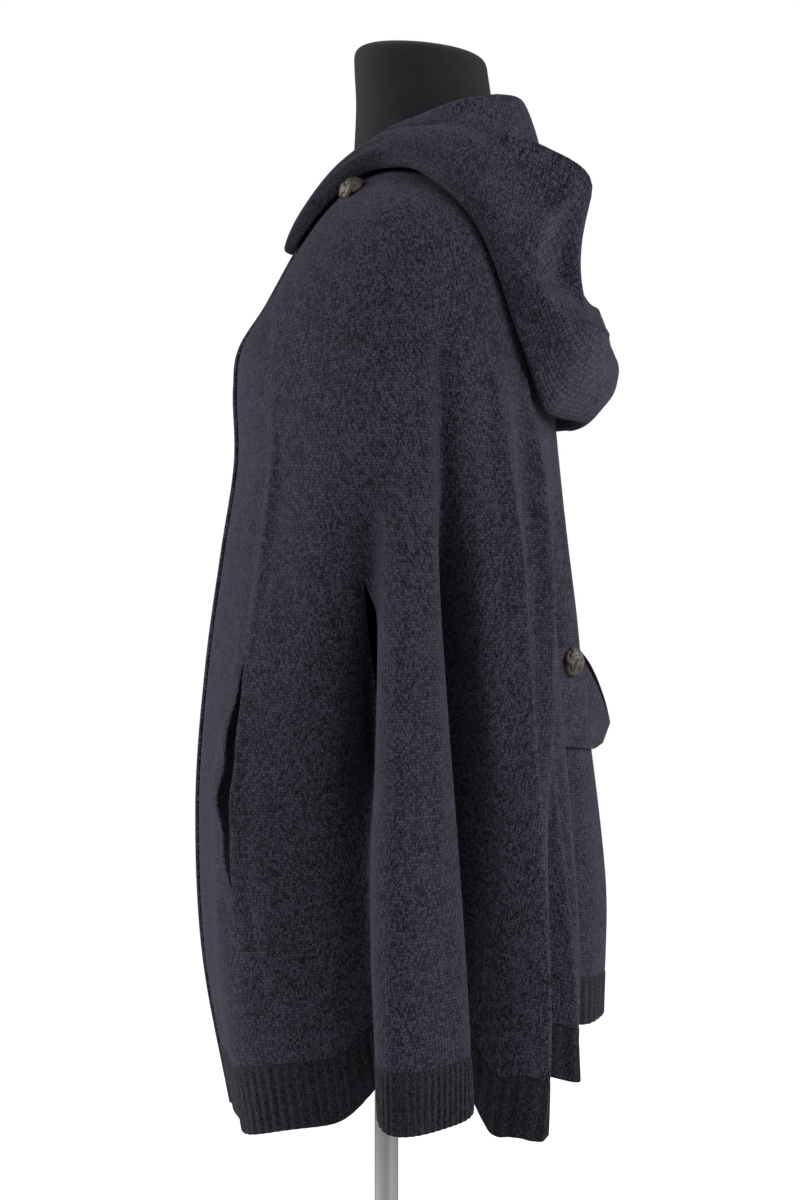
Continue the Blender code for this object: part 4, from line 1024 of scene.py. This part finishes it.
def add_button(name, centre, normal, material):
    """A woven leather button: one strand braided round a dome as a closed three-strand braid. Its angle
    from the top is tilt + swing cos(5t/3) over three turns t, and it goes over and under by weave times
    sin(10t/3). A plain core fills the dome."""
    t = np.linspace(0, 6 * math.pi, BRAID["rings"], endpoint=False)
    tilt = np.radians(BRAID["tilt"] + BRAID["swing"] * np.cos(5 * t / 3))
    lift = 1.0 + BRAID["weave"] * np.sin(10 * t / 3)
    out = np.stack((np.sin(tilt) * np.cos(t), np.sin(tilt) * np.sin(t), np.cos(tilt)), axis=-1)
    radius = BUTTON_RADIUS * BRAID["across"]
    size = np.array((radius, radius, BUTTON_HEIGHT * BRAID["up"]))
    foot = np.array((0, 0, -BRAID["foot"] * BUTTON_HEIGHT))
    path = out * size * lift[:, None] + foot
    strand = sweep(path, BRAID["half_width"], BRAID["half_height"], unit(out / size), BRAID["sides"])
    points, faces = strand.reshape(-1, 3), torus_faces(*strand.shape[:2])
    u = np.linspace(0, 2 * math.pi, CORE["sides"], endpoint=False)
    v = np.radians(np.linspace(CORE["end"], -CORE["end"], CORE["rings"]))
    core = np.stack((np.cos(v)[:, None] * np.cos(u), np.cos(v)[:, None] * np.sin(u),
                     np.sin(v)[:, None] * np.ones_like(u)), axis=-1)
    across = radius * CORE["across"]
    core = core * np.array((across, across, CORE["up"] * BUTTON_HEIGHT))
    core_faces = [[corner + len(points) for corner in face] for face in lathe_faces(*core.shape[:2])]
    points = np.vstack((points, core.reshape(-1, 3)))
    side = unit(np.cross((0.0, 0.0, 1.0), normal))
    axes = np.stack((side, np.cross(normal, side), normal))
    return make_piece(name, points @ axes + centre, faces.tolist() + core_faces, material)


# ---------------------------------------------------------------- dress form and stand

def smooth_rings(rings, times):
    """More rings between the given ones, on cubics through them."""
    rings = np.stack(rings)
    slopes = np.gradient(rings, axis=0)
    at = np.linspace(0, len(rings) - 1, (len(rings) - 1) * times + 1)
    low = np.minimum(at.astype(int), len(rings) - 2)
    part = (at - low)[:, None, None]
    return cubic(rings[low], rings[low + 1], slopes[low], slopes[low + 1], part, 1.0)


def lathe_faces(rows, columns):
    """Quads of rings that close round, and the two caps."""
    numbers = np.arange(rows * columns).reshape(rows, columns)
    beside = np.roll(numbers, -1, axis=1)
    quads = np.stack((numbers[:-1], numbers[1:], beside[1:], beside[:-1]), axis=-1).reshape(-1, 4)
    return quads.tolist() + [numbers[0].tolist(), numbers[-1, ::-1].tolist()]


def ring_map(rings):
    """A map in metres on rings: across, from the centre front round to the back on either side, as on a
    body a metre round; down, the mean distance from the first ring."""
    across = np.abs(np.linspace(-0.25, 0.25, rings.shape[1], endpoint=False))
    down = metres_along(rings, 0).mean(axis=1)
    return np.stack(np.meshgrid(across, down), axis=-1).reshape(-1, 2)


def add_form(material):
    """The padded form: a domed neck, shoulders that follow the inside of the cape, and a plain torso."""
    angle = np.linspace(0, 360, FORM_COLUMNS, endpoint=False)
    turn = np.radians(angle)
    foot = FORM_NECK_RINGS[-1][0]
    rings = []
    for height, less in FORM_NECK_RINGS:
        above = height - foot
        x = (FORM_NECK_RADII[0] - less) * np.sin(turn)
        y = NECK_Y - (FORM_NECK_RADII[1] - less) * np.cos(turn) - NECK_LEAN * above
        slope = NECK_SLOPE * (y - NECK_Y + FORM_NECK_RADII[1]) * above / (NECK_TOP_Z - foot)
        rings.append(np.stack((x, y, height - slope), axis=-1))
    root, torso = ([ring_points(np.tile(row, (FORM_COLUMNS, 1)), angle)[0] for row in rows]
                   for rows in (FORM_ROOT, FORM_TORSO))
    shoulders = []
    for fall in FORM_SHOULDER_FALLS:
        falls = np.full_like(angle, fall)
        inset = (WALL + 3 * CLEARANCE) * drape_normals(angle, falls)
        shoulders.append(drape(angle, falls) - inset)
    points = smooth_rings(rings + root + shoulders + torso, FORM_SMOOTHING)
    faces = lathe_faces(*points.shape[:2])
    return make_piece("form", points.reshape(-1, 3), faces, material, ring_map(points), sharp_angle=50)


def add_turned(name, profile, columns, material):
    """A turned piece: each (radius, height) point of its profile goes round the pole's axis."""
    turn = np.linspace(0, 2 * math.pi, columns, endpoint=False)
    radius, height = np.array(profile).T
    points = np.stack((radius[:, None] * np.sin(turn), -radius[:, None] * np.cos(turn),
                       np.broadcast_to(height[:, None], (len(radius), columns))), axis=-1)
    faces = lathe_faces(len(radius), columns)
    return make_piece(name, points.reshape(-1, 3), faces, material, sharp_angle=35)


# ---------------------------------------------------------------- putting it together

def declare(piece):
    """Work out what sheet of cloth a piece is: its width and length as cut, from its map in metres, and its
    area; the values are not kept or used.
    """
    flat = np.empty(len(piece.data.loops) * 2)
    piece.data.uv_layers["cloth"].data.foreach_get("uv", flat)
    width, length = (round(float(span) + CUT_EDGE, 3) for span in np.ptp(flat.reshape(-1, 2), axis=0))
    area = sum(face.area for face in piece.data.polygons) / 2
    area = round(min(area, width * length), 4)


def build_cape(made):
    """The panels, the ribbed hem and the bands. Returns the panels' outer points and normals."""
    skins = {}
    for name, first, last, slit in (
            ("front_left", 0, 1, POCKET_SLIT.around), ("side_left", 1, 2, None), ("back", 2, 4, None),
            ("side_right", 4, 5, None), ("front_right", 5, 6, 6 - POCKET_SLIT.around)):
        piece, *skins[name] = add_panel(name + "_knit", first, last, made["knit"], slit)
        declare(dress(piece, name))
        hem = add_hem(name + "_rib", first, last, made["rib"])
        declare(dress(hem, "hem_" + name))
    for name, first, last, raised in (("band_left", -1, 0, 0.0), ("band_right", 6, 7, WALL + CLEARANCE)):
        band = add_band(name + "_rib", first, last, raised, made["knit"])
        declare(dress(band, name))
    return skins


def build_hood(made, skins):
    """Both halves of the hood, on the upper part of the panels that each lies over."""
    for name, first, last, under in (
            ("hood_left", HOOD_START, 180, ("front_left", "side_left", "back")),
            ("hood_right", 180, 360 - HOOD_START, ("back", "side_right", "front_right"))):
        skin, normals = (np.concatenate([part[:UPPER_ROWS:2, ::3].reshape(-1, 3) for part in parts])
                         for parts in zip(*(skins[key] for key in under)))
        piece = add_hood(name + "_knit", first, last, made["knit"], skin, normals)
        declare(dress(piece, name))


def build_belt(made, skins):
    """The half-belt on the lower half of the back, and its two buttons, each facing as the belt does
    there."""
    outer, normals = skins["back"]
    low = slice(outer.shape[0] // 3, outer.shape[0] * 3 // 4)
    belt, skin, skin_normals = add_belt(made["knit"], outer[low, ::3], normals[low, ::3])
    declare(dress(belt, "half_belt"))
    for node in ("belt_button_left", "belt_button_right"):
        centre = np.mean(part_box(node), axis=0)
        nearest = np.argmin(((skin - centre) ** 2).sum(axis=-1))
        normal = skin_normals.reshape(-1, 3)[nearest]
        dress(add_button(node + "_braid", centre, normal, made["leather"]), node)


def build_neck_button(made):
    """The button at the neck, facing as the cape does there."""
    angle, fall = np.array([NECK_BUTTON["angle"]]), np.array([NECK_BUTTON["fall"]])
    normal = drape_normals(angle, fall)[0]
    button = add_button("neck_button_braid", np.mean(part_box("neck_button"), axis=0), normal, made["leather"])
    dress(button, "neck_button")


def build_stand(made):
    """The dress form, its pole and its base."""
    form = dress(add_form(made["jersey"]), "dress_form")
    top = BASE_THICKNESS
    tube = [(POLE_RADIUS, height) for height in (FORM_BOTTOM_Z - STAND_GAP, 0.4, top + STAND_GAP)]
    dress(add_turned("pole_tube", tube, 72, made["tube"]), "pole")
    insets = ((0.0025, top), (0.0012, top - 0.0004), (0.0003, top - 0.0014), (0.0, top - 0.003), (0.0, 0.002),
              (0.0006, 0.0006), (0.002, 0.0))
    edge = [(BASE_RADIUS - inset, height) for inset, height in insets]
    plate = [(BASE_CAP, top), *edge, (BASE_CAP, 0.0)]
    dress(add_turned("base_disc", plate, 128, made["plate"]), "base_plate")


def surround():
    """A white surround that the camera sees at full strength and that lights the object dimly."""
    world = bpy.data.worlds.new("surround")
    world.use_nodes = True
    wires = Wires(world.node_tree)
    seen = wires.node("LightPath", "Is Camera Ray")
    background = world.node_tree.nodes["Background"]
    background.inputs["Color"].default_value = (1.0, 1.0, 1.0, 1.0)
    wires.put(background.inputs["Strength"], wires.span(seen, 0.0, 1.0, WORLD_FILL, 1.0))
    bpy.context.scene.world = world


def floor_material():
    """A pale floor that glows, as painted light, with painted shade near the stand, blown out to white further
    off.
    """
    material, wires, shader = new_material("pale_floor", Base_Color=(0.85, 0.85, 0.85, 1.0), Roughness=0.9)
    where = wires.node("TexCoord", "Object")
    reach = wires.node("VectorMath", "Value", {"operation": "LENGTH"}, Vector=where)
    seen = wires.node("LightPath", "Is Camera Ray")
    # Painted light and painted shade: the floor glows fully to the camera and dimly onto the object, and its
    # glow is darker near the stand.
    glow_with_painted_shade = wires.span(reach, 0.2, 3.0, 0.40, 1.0)
    wires.put(shader.inputs["Emission Strength"], wires.span(seen, 0.0, 1.0, 0.05, 1.0))
    wires.put(shader.inputs["Emission Color"], wires.grey(glow_with_painted_shade))
    return material


def add_at(name, data, place, rotation):
    """An object of light or camera data at a place, turned."""
    item = bpy.data.objects.new(name, data)
    item.location = place
    item.rotation_euler = rotation
    bpy.context.scene.collection.objects.link(item)
    return item


def build_stage():
    """A pale floor, a white surround, soft lights on both sides and behind, and the camera."""
    bpy.ops.mesh.primitive_circle_add(vertices=96, radius=STAGE_REACH, fill_type="NGON")
    floor = bpy.context.object
    floor.name = "floor"
    floor.data.materials.append(floor_material())
    surround()
    bpy.context.scene.view_settings.view_transform = "Standard"
    for row in LIGHTS:
        lamp = bpy.data.lights.new(row.name, "AREA")
        lamp.energy = row.power
        lamp.shape = "RECTANGLE"
        lamp.size, lamp.size_y = LIGHT_SIZE
        place = Vector((row.x, row.y, row.z))
        aim = Vector(LIGHT_AIM) - place
        add_at(row.name, lamp, place, aim.to_track_quat("-Z", "Y").to_euler())
    camera = bpy.data.cameras.new("camera")
    camera.sensor_fit = "VERTICAL"
    camera.sensor_height = 36.0
    camera.lens = camera.sensor_height * CAMERA_AT[0] / VIEW_HEIGHT
    level = (math.radians(90), 0.0, math.radians(90))
    bpy.context.scene.camera = add_at("camera", camera, CAMERA_AT, level)


def main():
    """Build the cardigan, its form and the stage."""
    made = make_materials()
    skins = build_cape(made)
    build_hood(made, skins)
    build_belt(made, skins)
    build_neck_button(made)
    build_stand(made)
    build_stage()


main()
